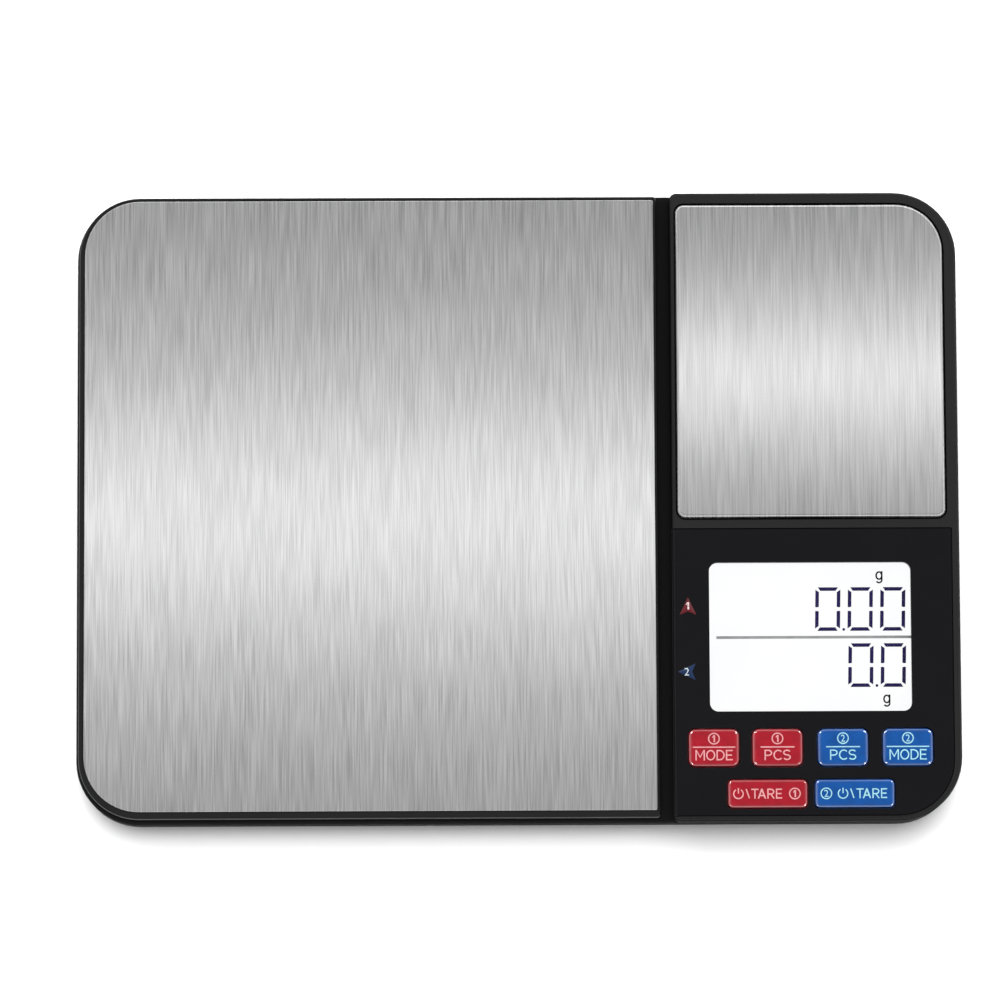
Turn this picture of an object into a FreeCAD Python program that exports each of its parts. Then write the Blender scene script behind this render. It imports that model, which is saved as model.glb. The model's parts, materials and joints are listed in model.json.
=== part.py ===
import FreeCAD, Part
import math
import os

import Sketcher

# Dual-platform counting scale: a large and a small weighing platform side by side on one flat case,
# with a control panel in front of the small platform.
# Millimetres. +X to the right, +Y to the rear, +Z up, origin under the middle of the case, where it stands.

Vector = FreeCAD.Vector

SHEET = "Sizes"

# alias, value, what it is
DRIVING_SIZES = [
    ("case_width", 250, "outside width of the case"),
    ("case_depth", 179, "outside depth of the case"),
    ("case_corner", 18, "corner radius of the case in plan"),
    ("wall", 2, "side wall of the case"),
    ("base_bottom", 2, "underside of the base above the table"),
    ("base_floor", 3.6, "top of the base's floor"),
    ("base_edge", 2.4, "rounding of the base's lower edge"),
    ("seam", 11.4, "height where the base meets the cover"),
    ("deck_top", 13.2, "top of the deck under the large platform"),
    ("housing_top", 20, "top of the raised housing"),
    ("housing_left", 43.6, "left side of the raised housing"),
    ("housing_corner", 2, "small corner radius of the housing"),
    ("housing_edge", 1.2, "rounding of the housing's upper edge"),
    ("deck_edge", 0.8, "rounding of the deck's upper edge"),
    ("inner_corner", 1, "small inside corner radius"),
    ("well_floor_bottom", 15.3, "underside of the floor under the small platform"),
    ("well_floor_top", 16.6, "top of the floor under the small platform"),
    ("well_gap", 0.55, "gap round the small platform"),
    ("tray_bottom", 14, "lower edge of the large tray"),
    ("tray_rim", 17.4, "top of the large tray's rim"),
    ("plate_seat", 17, "seat of the large steel plate"),
    ("plate_top", 17.8, "top of the large steel plate"),
    ("tray_inset_left", 0.8, "large tray inside the case at the left"),
    ("tray_inset_rear", 0.6, "large tray inside the case at the rear"),
    ("tray_inset_front", 1.3, "large tray inside the case at the front"),
    ("tray_right", 39.9, "right side of the large tray"),
    ("plate_margin_left", 1.5, "large tray's rim at the left"),
    ("plate_margin_rear", 1, "large tray's rim at the rear"),
    ("plate_margin_front", 2, "large tray's rim at the front"),
    ("plate_margin_right", 0.8, "large tray's rim at the right"),
    ("plate_gap", 0.3, "gap between the steel plate and its rim"),
    ("tray_wall", 2, "side wall of the large tray"),
    ("tray_ceiling", 1.6, "thickness of the large tray under the plate"),
    ("tray_edge", 0.5, "rounding of both trays' edges"),
    ("rib", 1.2, "thickness of the ribs under both trays"),
    ("rib_height", 1.2, "height of the large tray's ribs"),
    ("small_rib_height", 1.6, "height of the small tray's ribs"),
    ("overlap", 0.2, "how far a rib or post runs into the part it stands on"),
    ("cap_left", 45.3, "left side of the small steel plate"),
    ("cap_right", 121.05, "right side of the small steel plate"),
    ("cap_front", -3.7, "front of the small steel plate"),
    ("cap_rear", 85.9, "rear of the small steel plate"),
    ("cap_corner", 2.3, "three small corner radii of the small plate"),
    ("cap_outer_corner", 13.4, "corner radius of the small plate beside the case's corner"),
    ("cap_bottom", 18.2, "lower edge of the small plate's folded sides"),
    ("cap_top", 21.2, "top of the small steel plate"),
    ("cap_sheet", 0.5, "sheet thickness of the small plate"),
    ("cap_edge", 0.95, "bend radius outside the small plate"),
    ("cap_inner_edge", 0.45, "bend radius inside the small plate"),
    ("small_tray_gap", 0.05, "gap between the small tray and its plate"),
    ("small_tray_wall", 1.4, "side wall of the small tray"),
    ("small_tray_ceiling", 1.5, "thickness of the small tray under the plate"),
    ("small_tray_bottom", 17.2, "lower edge of the small tray"),
    ("panel_right", 122.9, "right side of the control panel's seat"),
    ("panel_front", -88.2, "front of the control panel's seat"),
    ("panel_rear", -6.6, "rear of the control panel's seat"),
    ("panel_bottom", 18.4, "underside of the control panel"),
    ("panel_gap", 0.15, "gap round the control panel"),
    ("panel_edge", 1.4, "rounding of the panel's left edge, which covers the housing's wall"),
    ("panel_corner", 0.6, "small corner radius of the panel"),
    ("soft_edge", 0.3, "slight rounding of loose pieces"),
    ("ledge_bottom", 16.8, "underside of the ledge that carries the panel"),
    ("ledge_width", 1.2, "width of that ledge"),
    ("window_left", 54.1, "left side of the display window"),
    ("window_right", 110.9, "right side of the display window"),
    ("window_front", -58.5, "front of the display window"),
    ("window_rear", -16.5, "rear of the display window"),
    ("window_corner", 2.3, "corner radius of the display window"),
    ("window_top", 19.9, "top of the display window"),
    ("window_flange", 1.2, "width and height of the window's glued flange"),
    ("window_gap", 0.1, "gap round the display window"),
    ("key_top", 20.8, "top of the keys"),
    ("key_gap", 0.45, "gap round each key"),
    ("key_edge", 0.7, "rounding of the key tops"),
    ("flange_bottom", 17.3, "underside of the key flanges"),
    ("flange_top", 18.1, "top of the key flanges"),
    ("flange_width", 0.6, "width of the key flanges"),
    ("stem_bottom", 15.2, "lower end of the key stems"),
    ("stem_radius", 2.2, "radius of the key stems"),
    ("plunger_radius", 1.5, "radius of the switch plungers"),
    ("board_bottom", 9, "underside of the circuit board"),
    ("board_top", 10.6, "top of the circuit board"),
    ("switch_top", 14.1, "top of the switch bodies"),
    ("switch_side", 6, "side of the square switch bodies"),
    ("boss_split", 8.5, "height where base and cover bosses meet"),
    ("boss_radius", 3.5, "outside radius of the screw bosses in the base"),
    ("cover_boss_radius", 3.2, "outside radius of the screw bosses in the cover"),
    ("boss_root_radius", 4, "outside radius of the housing's bosses above the seam"),
    ("boss_hole_radius", 1.35, "radius of the pilot holes in the cover's bosses"),
    ("board_post_radius", 2.6, "outside radius of the circuit board's posts"),
    ("board_pilot_radius", 1.1, "radius of the holes in those posts"),
    ("board_hole_radius", 1.3, "radius of the screw holes in the circuit board"),
    ("screw_seat", 5.5, "seat of the screw heads in the base"),
    ("screw_well_radius", 2.9, "radius of the wells for the case and small cell screws"),
    ("case_hole_radius", 1.5, "radius of the case screws' clearance holes"),
    ("main_screw_seat", 3.4, "seat of the large cell's base screws"),
    ("main_well_radius", 3.9, "radius of the wells for the large cell's screws"),
    ("main_hole_radius", 2.1, "radius of the large cell screws' clearance holes in the base"),
    ("small_hole_radius", 1.6, "radius of the small cell screws' clearance holes in the base"),
    ("small_access_radius", 3, "radius of the holes that reach the small tray's screws"),
    ("tray_pilot_radius", 1.55, "radius of the pilot holes in the trays' posts"),
    ("tray_pilot_depth", 4.2, "depth of those holes"),
    ("main_cell_bottom", 4.6, "underside of the large load cell"),
    ("main_cell_top", 11, "top of the large load cell"),
    ("main_cell_x", -42, "middle of the large load cell"),
    ("main_cell_length", 70, "length of the large load cell"),
    ("main_cell_width", 14, "width of the large load cell"),
    ("small_cell_bottom", 8, "underside of the small load cell"),
    ("small_cell_top", 14, "top of the small load cell"),
    ("small_cell_x", 83.2, "middle of the small load cell, left to right"),
    ("small_cell_y", 41.1, "middle of the small load cell, front to rear"),
    ("small_cell_length", 47, "length of the small load cell"),
    ("small_cell_width", 12, "width of the small load cell"),
    ("main_seat_length", 17, "length of the pad under the large load cell"),
    ("main_seat_margin", 1, "how far that pad reaches past the cell"),
    ("small_seat_length", 16, "length of the tower under the small load cell"),
    ("small_seat_margin", 0.5, "how far that tower reaches past the cell"),
    ("post_gap", 2, "gap between a platform's post and the cover"),
    ("bay_left", 54.2, "left side of the battery bay"),
    ("bay_right", 106.8, "right side of the battery bay"),
    ("bay_front", 55.2, "front of the battery bay"),
    ("bay_rear", 79.3, "rear of the battery bay"),
    ("bay_ceiling", 14.3, "ceiling of the battery bay"),
    ("bay_top", 15.1, "top of the battery box"),
    ("bay_wall", 1.2, "wall of the battery box"),
    ("battery_radius", 5.2, "radius of the AAA cells"),
    ("battery_z", 8.9, "axis height of the AAA cells"),
    ("door_top", 3.4, "inner face of the battery door"),
    ("door_gap", 0.2, "gap round the battery door"),
    ("hook_half_width", 2.5, "half the width of the door's hooks"),
    ("finger_left", 75.5, "left side of the finger recess behind the door"),
    ("finger_right", 85.5, "right side of the finger recess"),
    ("finger_reach", 3.2, "depth of the finger recess from the door to the rear"),
    ("finger_top", 2.9, "top of the finger recess"),
    ("tab_bottom", 8.2, "underside of the contacts' solder tabs"),
    ("tab_half_width", 1.5, "half the width of those tabs"),
    ("contact_sheet", 0.4, "thickness of the contact sheets"),
    ("contact_bottom", 5.2, "lower edge of the contact sheets"),
    ("contact_top", 12.8, "upper edge of the contact sheets"),
    ("foot_x", 113.5, "feet from the middle, left and right"),
    ("foot_y", 62, "feet from the middle, front and rear"),
    ("foot_radius", 5.3, "radius of the rubber feet"),
    ("foot_top", 2.6, "top of the rubber feet in their recess"),
    ("foot_edge", 0.5, "rounding of the feet's lower edge"),
    ("label_recess", 0.3, "depth of the label's recess"),
    ("label_sheet", 0.2, "thickness of the label"),
    ("label_gap", 0.25, "gap round the label in its recess"),
]

# name, centre x, centre y, width, depth, corner radius
KEYS = [
    ("red_mode", 54.95, -68.9, 14.1, 10.4, 1.9),
    ("red_pieces", 72.85, -68.9, 14.1, 10.4, 1.9),
    ("blue_pieces", 91.3, -68.9, 14.1, 10.4, 1.9),
    ("blue_mode", 109.6, -68.9, 14.1, 10.4, 1.9),
    ("red_tare", 70.0, -81.9, 22.3, 7.8, 1.4),
    ("blue_tare", 94.5, -81.9, 22.3, 7.8, 1.4),
]

# four under the deck, then the housing's front and rear corner
CASE_SCREWS = [(-116, -80.5), (-116, 80.5), (36, -80), (36, 80), (116, -80.5), (116, 80.5)]
BOARD_SCREWS = [(54, -9.5), (112, -9.5), (52, -82), (107, -82)]

MAIN_CELL_BASE_HOLES = (-72, -61)
MAIN_CELL_TRAY_HOLES = (-23, -12)
SMALL_CELL_BASE_HOLES = (64, 72)
SMALL_CELL_TRAY_HOLES = (94.4, 102.4)

# middles of the door's two hooks and of its two latch slits, left to right
DOOR_HOOKS = (64, 97)
LATCH_SLITS = (75, 86)

# the two rows of AAA cells, front to rear
BATTERY_ROWS = (61.5, 73)
BATTERY_LENGTH = 43.5
BATTERY_BUTTON_RADIUS = 1.9
BUMP_HEIGHT = 1.5
BUMP_RADIUS = 2.2
SPRING_TURNS = 3.5
SPRING_WIRE_RADIUS = 0.35
SPRING_RADIUS = 2.6

# ribs under the platforms' trays: places along X, then places along Y
LARGE_TRAY_RIBS = (-105, -84, -63, 20), (-60, -30, 30, 60)
SMALL_TRAY_RIBS = (63, 83), (14, 68)

BOARD_OUTLINE = [(47, -73), (47, -6.2), (119, -6.2), (119, -74), (111, -74), (111, -86), (48.5, -86),
                 (48.5, -73)]
CONTROLLER_PLACE = (84, -42)
CONTROLLER_RADIUS = 7
CAPACITOR_PLACES = [(60, -46), (66, -46), (98, -30), (104, -30), (76, -58), (92, -58)]
CAPACITOR_SIZE = (3.2, 1.6, 1.2)

# heights at which the wires run, all under the circuit board's lower face
CELL_WIRE_Z = 8.2
CELL_WIRE_RADIUS = 0.8
CELL_WIRE_BEND = 4
BATTERY_WIRE_Z = 8.4
BATTERY_WIRE_RADIUS = 0.6
TAB_END = 51.0

doc = FreeCAD.newDocument("counting_scale")


# ---------------------------------------------------------------------------
# Sizes bound to the sheet
# ---------------------------------------------------------------------------

class Size:
    """A length in millimetres together with the sheet expression that it comes from."""

    def __init__(self, value, text=None):
        self.value = float(value)
        self.text = text if text is not None else repr(float(value))

    def __add__(self, other):
        other = as_size(other)
        return Size(self.value + other.value, f"({self.text} + {other.text})")

    def __sub__(self, other):
        other = as_size(other)
        return Size(self.value - other.value, f"({self.text} - {other.text})")

    def __mul__(self, factor):
        return Size(self.value * factor, f"({self.text} * {factor})")

    def __truediv__(self, divisor):
        return Size(self.value / divisor, f"({self.text} / {divisor})")

    def __neg__(self):
        return Size(-self.value, f"(-1 * {self.text})")


def as_size(length):
    return length if isinstance(length, Size) else Size(length)


class SizeSheet:
    """The driving sizes, each one an attribute that names a cell of the sheet."""

    def __init__(self, rows):
        sheet = doc.addObject("Spreadsheet::Sheet", SHEET)
        for row, (alias, value, meaning) in enumerate(rows, start=1):
            sheet.set(f"A{row}", meaning)
            sheet.set(f"B{row}", str(value))
            sheet.setAlias(f"B{row}", alias)
            setattr(self, alias, Size(value, f"{SHEET}.{alias}"))
        doc.recompute()


S = SizeSheet(DRIVING_SIZES)

CASE_LEFT = -(S.case_width / 2)
CASE_RIGHT = S.case_width / 2
CASE_FRONT = -(S.case_depth / 2)
CASE_REAR = S.case_depth / 2

TRAY_LEFT = CASE_LEFT + S.tray_inset_left
TRAY_FRONT = CASE_FRONT + S.tray_inset_front
TRAY_REAR = CASE_REAR - S.tray_inset_rear
TRAY_CORNER = S.case_corner - S.tray_inset_left


# ---------------------------------------------------------------------------
# Outlines for sketches
# ---------------------------------------------------------------------------

def pin_point(sketch, geometry, position, x, y):
    """Holds one point of a sketch at x, y from the sketch's origin."""
    for kind, size in (("DistanceX", x), ("DistanceY", y)):
        if size is not None:
            size = as_size(size)
            index = sketch.addConstraint(
                Sketcher.Constraint(kind, -1, 1, geometry, position, size.value)
            )
            sketch.setExpression(f"Constraints[{index}]", size.text)


class Rect:
    """A rectangle; corners are radii in the order front left, front right, rear right, rear left."""

    def __init__(self, x0, x1, y0, y1, corners=None):
        self.sides = [as_size(side) for side in (x0, x1, y0, y1)]
        if corners is None or isinstance(corners, (list, tuple)):
            self.corners = corners
        else:
            self.corners = [corners] * 4

    def grown(self, by):
        x0, x1, y0, y1 = self.sides
        corners = None
        if self.corners is not None:
            corners = [as_size(radius) + by for radius in self.corners]
        return Rect(x0 - by, x1 + by, y0 - by, y1 + by, corners)

    def draw(self, sketch):
        x0, x1, y0, y1 = self.sides
        points = [(x0, y0), (x1, y0), (x1, y1), (x0, y1)]
        if self.corners is None:
            Polygon(points).draw(sketch)
            return
        radii = [as_size(radius) for radius in self.corners]
        along = [Vector(1, 0, 0), Vector(0, 1, 0), Vector(-1, 0, 0), Vector(0, -1, 0)]
        corner = [Vector(x.value, y.value, 0) for x, y in points]
        lines = []
        for i in range(4):
            start = corner[i] + along[i] * radii[i].value
            end = corner[(i + 1) % 4] - along[i] * radii[(i + 1) % 4].value
            lines.append(sketch.addGeometry(Part.LineSegment(start, end)))
        for i in range(4):
            before = along[i - 1]
            after = along[i]
            radius = radii[i].value
            start = corner[i] - before * radius
            end = corner[i] + after * radius
            centre = start + after * radius
            middle = centre + (corner[i] - centre).normalize() * radius
            arc = sketch.addGeometry(Part.Arc(start, middle, end))
            # Part.Arc always runs anticlockwise here, as the outline does
            sketch.addConstraint(Sketcher.Constraint("Tangent", lines[i - 1], 2, arc, 1))
            sketch.addConstraint(Sketcher.Constraint("Tangent", arc, 2, lines[i], 1))
            index = sketch.addConstraint(Sketcher.Constraint("Radius", arc, radius))
            sketch.setExpression(f"Constraints[{index}]", radii[i].text)
        for i, direction in enumerate(("Horizontal", "Vertical", "Horizontal", "Vertical")):
            sketch.addConstraint(Sketcher.Constraint(direction, lines[i]))
        pin_point(sketch, lines[0], 1, None, y0)
        pin_point(sketch, lines[1], 1, x1, None)
        pin_point(sketch, lines[2], 1, None, y1)
        pin_point(sketch, lines[3], 1, x0, None)


class Polygon:
    """A closed outline of straight lines through the given points."""

    def __init__(self, points):
        self.points = [(as_size(x), as_size(y)) for x, y in points]

    def draw(self, sketch):
        corner = [Vector(x.value, y.value, 0) for x, y in self.points]
        count = len(corner)
        lines = [
            sketch.addGeometry(Part.LineSegment(corner[i], corner[(i + 1) % count]))
            for i in range(count)
        ]
        for i in range(count):
            sketch.addConstraint(
                Sketcher.Constraint("Coincident", lines[i - 1], 2, lines[i], 1)
            )
            pin_point(sketch, lines[i], 1, *self.points[i])


class Disc:
    """A circle."""

    def __init__(self, x, y, radius):
        self.x = as_size(x)
        self.y = as_size(y)
        self.radius = as_size(radius)

    def draw(self, sketch):
        centre = Vector(self.x.value, self.y.value, 0)
        circle = sketch.addGeometry(Part.Circle(centre, Vector(0, 0, 1), self.radius.value))
        pin_point(sketch, circle, 3, self.x, self.y)
        index = sketch.addConstraint(Sketcher.Constraint("Radius", circle, self.radius.value))
        sketch.setExpression(f"Constraints[{index}]", self.radius.text)


# ---------------------------------------------------------------------------
# PartDesign features
# ---------------------------------------------------------------------------

def new_body(label):
    body = doc.addObject("PartDesign::Body", label)
    body.Label = label
    return body


def level_sketch(body, name, z, outlines):
    """A sketch parallel to the table at height z."""
    sketch = body.newObject("Sketcher::SketchObject", name + "Sketch")
    plane = [item for item in body.Origin.OriginFeatures if item.Role == "XY_Plane"][0]
    sketch.AttachmentSupport = (plane, [""])
    sketch.MapMode = "FlatFace"
    sketch.AttachmentOffset = FreeCAD.Placement(Vector(0, 0, z.value), FreeCAD.Rotation())
    sketch.setExpression("AttachmentOffset.Base.z", z.text)
    for outline in outlines:
        outline.draw(sketch)
    return sketch


def pad(body, name, z0, z1, outlines):
    """Adds the outlines to the body from height z0 up to z1."""
    z0 = as_size(z0)
    height = as_size(z1) - z0
    feature = body.newObject("PartDesign::Pad", name)
    feature.Profile = level_sketch(body, name, z0, outlines)
    feature.Length = height.value
    feature.setExpression("Length", height.text)
    doc.recompute()
    return feature


def pocket(body, name, z0, z1, outlines):
    """Removes the outlines from the body between heights z0 and z1."""
    z1 = as_size(z1)
    depth = z1 - as_size(z0)
    before = body.Shape.Volume
    feature = body.newObject("PartDesign::Pocket", name)
    feature.Profile = level_sketch(body, name, z1, outlines)
    feature.Length = depth.value
    feature.setExpression("Length", depth.text)
    doc.recompute()
    if not body.Shape.Volume < before - 1e-3:
        raise ValueError(f"{body.Label}: {name} removes nothing")
    return feature


def round_edges(body, name, radius, keep):
    """Fillets the edges of the body's last feature for which keep(edge) is true."""
    radius = as_size(radius)
    base = body.Tip
    names = [f"Edge{i}" for i, edge in enumerate(base.Shape.Edges, start=1) if keep(edge)]
    if not names:
        raise ValueError(f"{body.Label}: {name} has no edges")
    feature = body.newObject("PartDesign::Fillet", name)
    feature.Base = (base, names)
    feature.Radius = radius.value
    feature.setExpression("Radius", radius.text)
    doc.recompute()
    return feature


def at_height(z):
    """True for the edges that lie level at height z."""
    z = as_size(z).value
    return lambda edge: abs(edge.BoundBox.ZMin - z) < 1e-4 and abs(edge.BoundBox.ZMax - z) < 1e-4


def standing_at(x, y):
    """True for the edges that stand upright at x, y."""
    x, y = as_size(x).value, as_size(y).value

    def keep(edge):
        box = edge.BoundBox
        return max(abs(box.XMin - x), abs(box.XMax - x), abs(box.YMin - y), abs(box.YMax - y)) < 1e-4

    return keep


# ---------------------------------------------------------------------------
# Part primitives
# ---------------------------------------------------------------------------

def bind(item, properties):
    for name, size in properties.items():
        size = as_size(size)
        item.setExpression(name, size.text)


def block(label, x0, x1, y0, y1, z0, z1):
    x0, x1, y0, y1, z0, z1 = (as_size(side) for side in (x0, x1, y0, y1, z0, z1))
    item = doc.addObject("Part::Box", label)
    item.Label = label
    bind(item, {
        "Length": x1 - x0,
        "Width": y1 - y0,
        "Height": z1 - z0,
        "Placement.Base.x": x0,
        "Placement.Base.y": y0,
        "Placement.Base.z": z0,
    })
    return item


def rod(label, axis, start, end, radius, across):
    """A cylinder along axis from start to end; across gives its other two coordinates in X, Y, Z order."""
    start, end = as_size(start), as_size(end)
    item = doc.addObject("Part::Cylinder", label)
    item.Label = label
    turn = {
        "x": FreeCAD.Rotation(Vector(0, 1, 0), 90),
        "y": FreeCAD.Rotation(Vector(1, 0, 0), -90),
        "z": FreeCAD.Rotation(),
    }[axis]
    item.Placement = FreeCAD.Placement(Vector(), turn)
    base = dict(zip([name for name in "xyz" if name != axis], across))
    base[axis] = start
    bind(item, {"Radius": radius, "Height": end - start})
    bind(item, {f"Placement.Base.{name}": size for name, size in base.items()})
    return item


def fuse(label, items):
    item = doc.addObject("Part::MultiFuse", label)
    item.Label = label
    item.Shapes = items
    return item


def cut(label, base, tools):
    item = doc.addObject("Part::Cut", label)
    item.Label = label
    item.Base = base
    item.Tool = tools[0] if len(tools) == 1 else fuse(label + "_tools", tools)
    return item


def group(label, items):
    """Separate solids of one kind that share a node."""
    item = doc.addObject("Part::Compound", label)
    item.Label = label
    item.Links = items
    return item


def routed_tube(label, points, radius, bend):
    """A tube along straight runs joined by tangent arcs, checked against its section times its length."""
    points = [Vector(*point) for point in points]
    edges = []
    start = points[0]
    for before, corner, after in zip(points, points[1:], points[2:]):
        arriving = (corner - before).normalize()
        leaving = (after - corner).normalize()
        setback = bend * math.tan(arriving.getAngle(leaving) / 2)
        arc_start = corner - arriving * setback
        arc_end = corner + leaving * setback
        bisector = (leaving - arriving).normalize()
        centre = corner + bisector * (setback ** 2 + bend ** 2) ** 0.5
        arc_middle = centre - bisector * bend
        edges.append(Part.LineSegment(start, arc_start).toShape())
        edges.append(Part.Arc(arc_start, arc_middle, arc_end).toShape())
        start = arc_end
    edges.append(Part.LineSegment(start, points[-1]).toShape())
    path = Part.Wire(edges)
    direction = (points[1] - points[0]).normalize()
    section = Part.Wire(Part.Circle(points[0], direction, radius).toShape())
    shape = path.makePipeShell([section], True, True)
    expected = math.pi * radius ** 2 * path.Length
    if abs(shape.Volume / expected - 1) > 0.01:
        raise ValueError(f"{label}: volume {shape.Volume:.2f} is not {expected:.2f}")
    item = doc.addObject("Part::Feature", label)
    item.Label = label
    item.Shape = shape
    item.Placement = FreeCAD.Placement()
    return item


# ---------------------------------------------------------------------------
# Case
# ---------------------------------------------------------------------------

def case_outline(inset=0.0):
    return Rect(CASE_LEFT + inset, CASE_RIGHT - inset, CASE_FRONT + inset, CASE_REAR - inset,
                S.case_corner - inset)


def discs(places, radius):
    return [Disc(x, y, radius) for x, y in places]


def bay_outline(inset=0.0):
    return Rect(S.bay_left + inset, S.bay_right - inset, S.bay_front + inset, S.bay_rear - inset)


def feet_places():
    return [(S.foot_x * side, S.foot_y * end) for side in (-1, 1) for end in (-1, 1)]


def make_base_shell():
    """Lower half of the case, with seats for both load cells, posts, bosses and the battery box."""
    body = new_body("base_shell")
    cell_y = S.small_cell_y
    half_main = S.main_cell_width / 2
    half_small = S.small_cell_width / 2
    main_end = S.main_cell_x - S.main_cell_length / 2
    small_end = S.small_cell_x - S.small_cell_length / 2

    pad(body, "Outside", S.base_bottom, S.seam, [case_outline()])
    round_edges(body, "LowerEdge", S.base_edge, at_height(S.base_bottom))
    pocket(body, "Inside", S.base_floor, S.seam, [case_outline(S.wall)])

    pad(body, "CaseBosses", S.base_floor, S.boss_split, discs(CASE_SCREWS, S.boss_radius))
    pad(body, "BoardPosts", S.base_floor, S.board_bottom, discs(BOARD_SCREWS, S.board_post_radius))
    pad(body, "MainCellSeat", S.base_floor, S.main_cell_bottom,
        [Rect(main_end, main_end + S.main_seat_length, -half_main, half_main).grown(S.main_seat_margin)])
    pad(body, "SmallCellTower", S.base_floor, S.small_cell_bottom,
        [Rect(small_end, small_end + S.small_seat_length, cell_y - half_small,
              cell_y + half_small).grown(S.small_seat_margin)])
    pad(body, "BatteryBox", S.base_floor, S.bay_top, [bay_outline(-S.bay_wall)])
    pocket(body, "BatteryBay", S.base_bottom, S.bay_ceiling, [bay_outline()])

    slot_half_width = S.hook_half_width + 1
    hooks = [Rect(x - slot_half_width, x + slot_half_width, S.bay_front - S.bay_wall - 0.5,
                  S.bay_front + 0.5) for x in map(as_size, DOOR_HOOKS)]
    pocket(body, "HookSlots", S.base_floor, S.base_floor + 1.9, hooks)
    tab_half_width = S.tab_half_width + 0.2
    tabs = [Rect(S.bay_left - S.bay_wall - 0.5, S.bay_left + 0.5, y - tab_half_width, y + tab_half_width)
            for y in map(as_size, BATTERY_ROWS)]
    pocket(body, "ContactSlots", S.tab_bottom - 0.2, S.tab_bottom + 0.6, tabs)
    pocket(body, "FingerRecess", S.base_bottom, S.finger_top,
           [Rect(S.finger_left, S.finger_right, S.bay_rear - 0.5, S.bay_rear + S.finger_reach,
                 [0.3, 0.3, 3, 3])])

    pocket(body, "CaseScrewWells", S.base_bottom, S.screw_seat, discs(CASE_SCREWS, S.screw_well_radius))
    pocket(body, "CaseScrewHoles", S.screw_seat, S.boss_split, discs(CASE_SCREWS, S.case_hole_radius))
    main_base = [(x, 0) for x in MAIN_CELL_BASE_HOLES]
    pocket(body, "MainScrewWells", S.base_bottom, S.main_screw_seat, discs(main_base, S.main_well_radius))
    pocket(body, "MainScrewHoles", S.main_screw_seat, S.main_cell_bottom,
           discs(main_base, S.main_hole_radius))
    pocket(body, "MainScrewAccess", S.base_bottom, S.base_floor,
           discs([(x, 0) for x in MAIN_CELL_TRAY_HOLES], S.main_well_radius))
    small_base = [(x, cell_y) for x in SMALL_CELL_BASE_HOLES]
    pocket(body, "SmallScrewWells", S.base_bottom, S.screw_seat, discs(small_base, S.screw_well_radius))
    pocket(body, "SmallScrewHoles", S.screw_seat, S.small_cell_bottom,
           discs(small_base, S.small_hole_radius))
    pocket(body, "SmallScrewAccess", S.base_bottom, S.base_floor,
           discs([(x, cell_y) for x in SMALL_CELL_TRAY_HOLES], S.small_access_radius))
    pocket(body, "BoardScrewHoles", S.board_bottom - 4, S.board_bottom,
           discs(BOARD_SCREWS, S.board_pilot_radius))
    pocket(body, "FootRecesses", S.base_bottom, S.foot_top, discs(feet_places(), S.foot_radius + 0.2))
    pocket(body, "LabelRecess", S.base_bottom, S.base_bottom + S.label_recess,
           [label_outline().grown(S.label_gap)])


def make_top_cover():
    """Upper half of the case: flat deck at the left, raised housing at the right."""
    body = new_body("top_cover")
    small, big = S.housing_corner, S.case_corner
    inner_small, inner_big = S.inner_corner, S.case_corner - S.wall
    inner_left = S.housing_left + S.wall
    inner_right = CASE_RIGHT - S.wall
    middle = (S.panel_rear + S.cap_front) / 2

    pad(body, "Deck", S.seam, S.deck_top, [case_outline()])
    round_edges(body, "DeckEdge", S.deck_edge, at_height(S.deck_top))
    pad(body, "Housing", S.seam, S.housing_top,
        [Rect(S.housing_left, CASE_RIGHT, CASE_FRONT, CASE_REAR, [small, big, big, small])])
    round_edges(body, "HousingEdge", S.housing_edge, at_height(S.housing_top))

    pocket(body, "FrontCavity", S.seam, S.ledge_bottom,
           [Rect(inner_left, inner_right, CASE_FRONT + S.wall, middle,
                 [inner_small, inner_big, inner_small, inner_small])])
    pocket(body, "RearCavity", S.seam, S.well_floor_bottom,
           [Rect(inner_left, inner_right, middle - 1, CASE_REAR - S.wall,
                 [inner_small, inner_small, inner_big, inner_small])])
    pocket(body, "PlatformWell", S.well_floor_top, S.housing_top, [cap_outline().grown(S.well_gap)])
    # the seat runs out through the housing's left wall
    pocket(body, "PanelSeat", S.panel_bottom, S.housing_top,
           [panel_outline(S.housing_left - 2, S.panel_corner)])
    pocket(body, "PanelOpening", S.ledge_bottom, S.panel_bottom,
           [panel_outline(S.housing_left, inner_small, S.ledge_width)])

    pad(body, "FrontBossRoot", S.seam, S.ledge_bottom, discs(CASE_SCREWS[4:5], S.boss_root_radius))
    pad(body, "RearBossRoot", S.seam, S.well_floor_bottom, discs(CASE_SCREWS[5:], S.boss_root_radius))
    pad(body, "Bosses", S.boss_split, S.seam + 0.5, discs(CASE_SCREWS, S.cover_boss_radius))
    pocket(body, "BossHoles", S.boss_split, S.seam + 1, discs(CASE_SCREWS, S.boss_hole_radius))

    main_post, small_post = post_outlines()
    pocket(body, "MainPostOpening", S.seam, S.deck_top, [main_post.grown(S.post_gap)])
    pocket(body, "SmallPostOpening", S.well_floor_bottom, S.well_floor_top,
           [small_post.grown(S.post_gap)])


def make_feet():
    names = ["foot_front_left", "foot_rear_left", "foot_front_right", "foot_rear_right"]
    for name, (x, y) in zip(names, feet_places()):
        body = new_body(name)
        pad(body, "Pad", 0, S.foot_top, [Disc(x, y, S.foot_radius)])
        round_edges(body, "Edge", S.foot_edge, at_height(0))


def label_outline():
    return Rect(-98, -48, -62, -34, 2)


def make_label():
    body = new_body("rating_label")
    top = S.base_bottom + S.label_recess
    pad(body, "Sheet", top - S.label_sheet, top, [label_outline()])


# ---------------------------------------------------------------------------
# Weighing platforms
# ---------------------------------------------------------------------------

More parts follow.
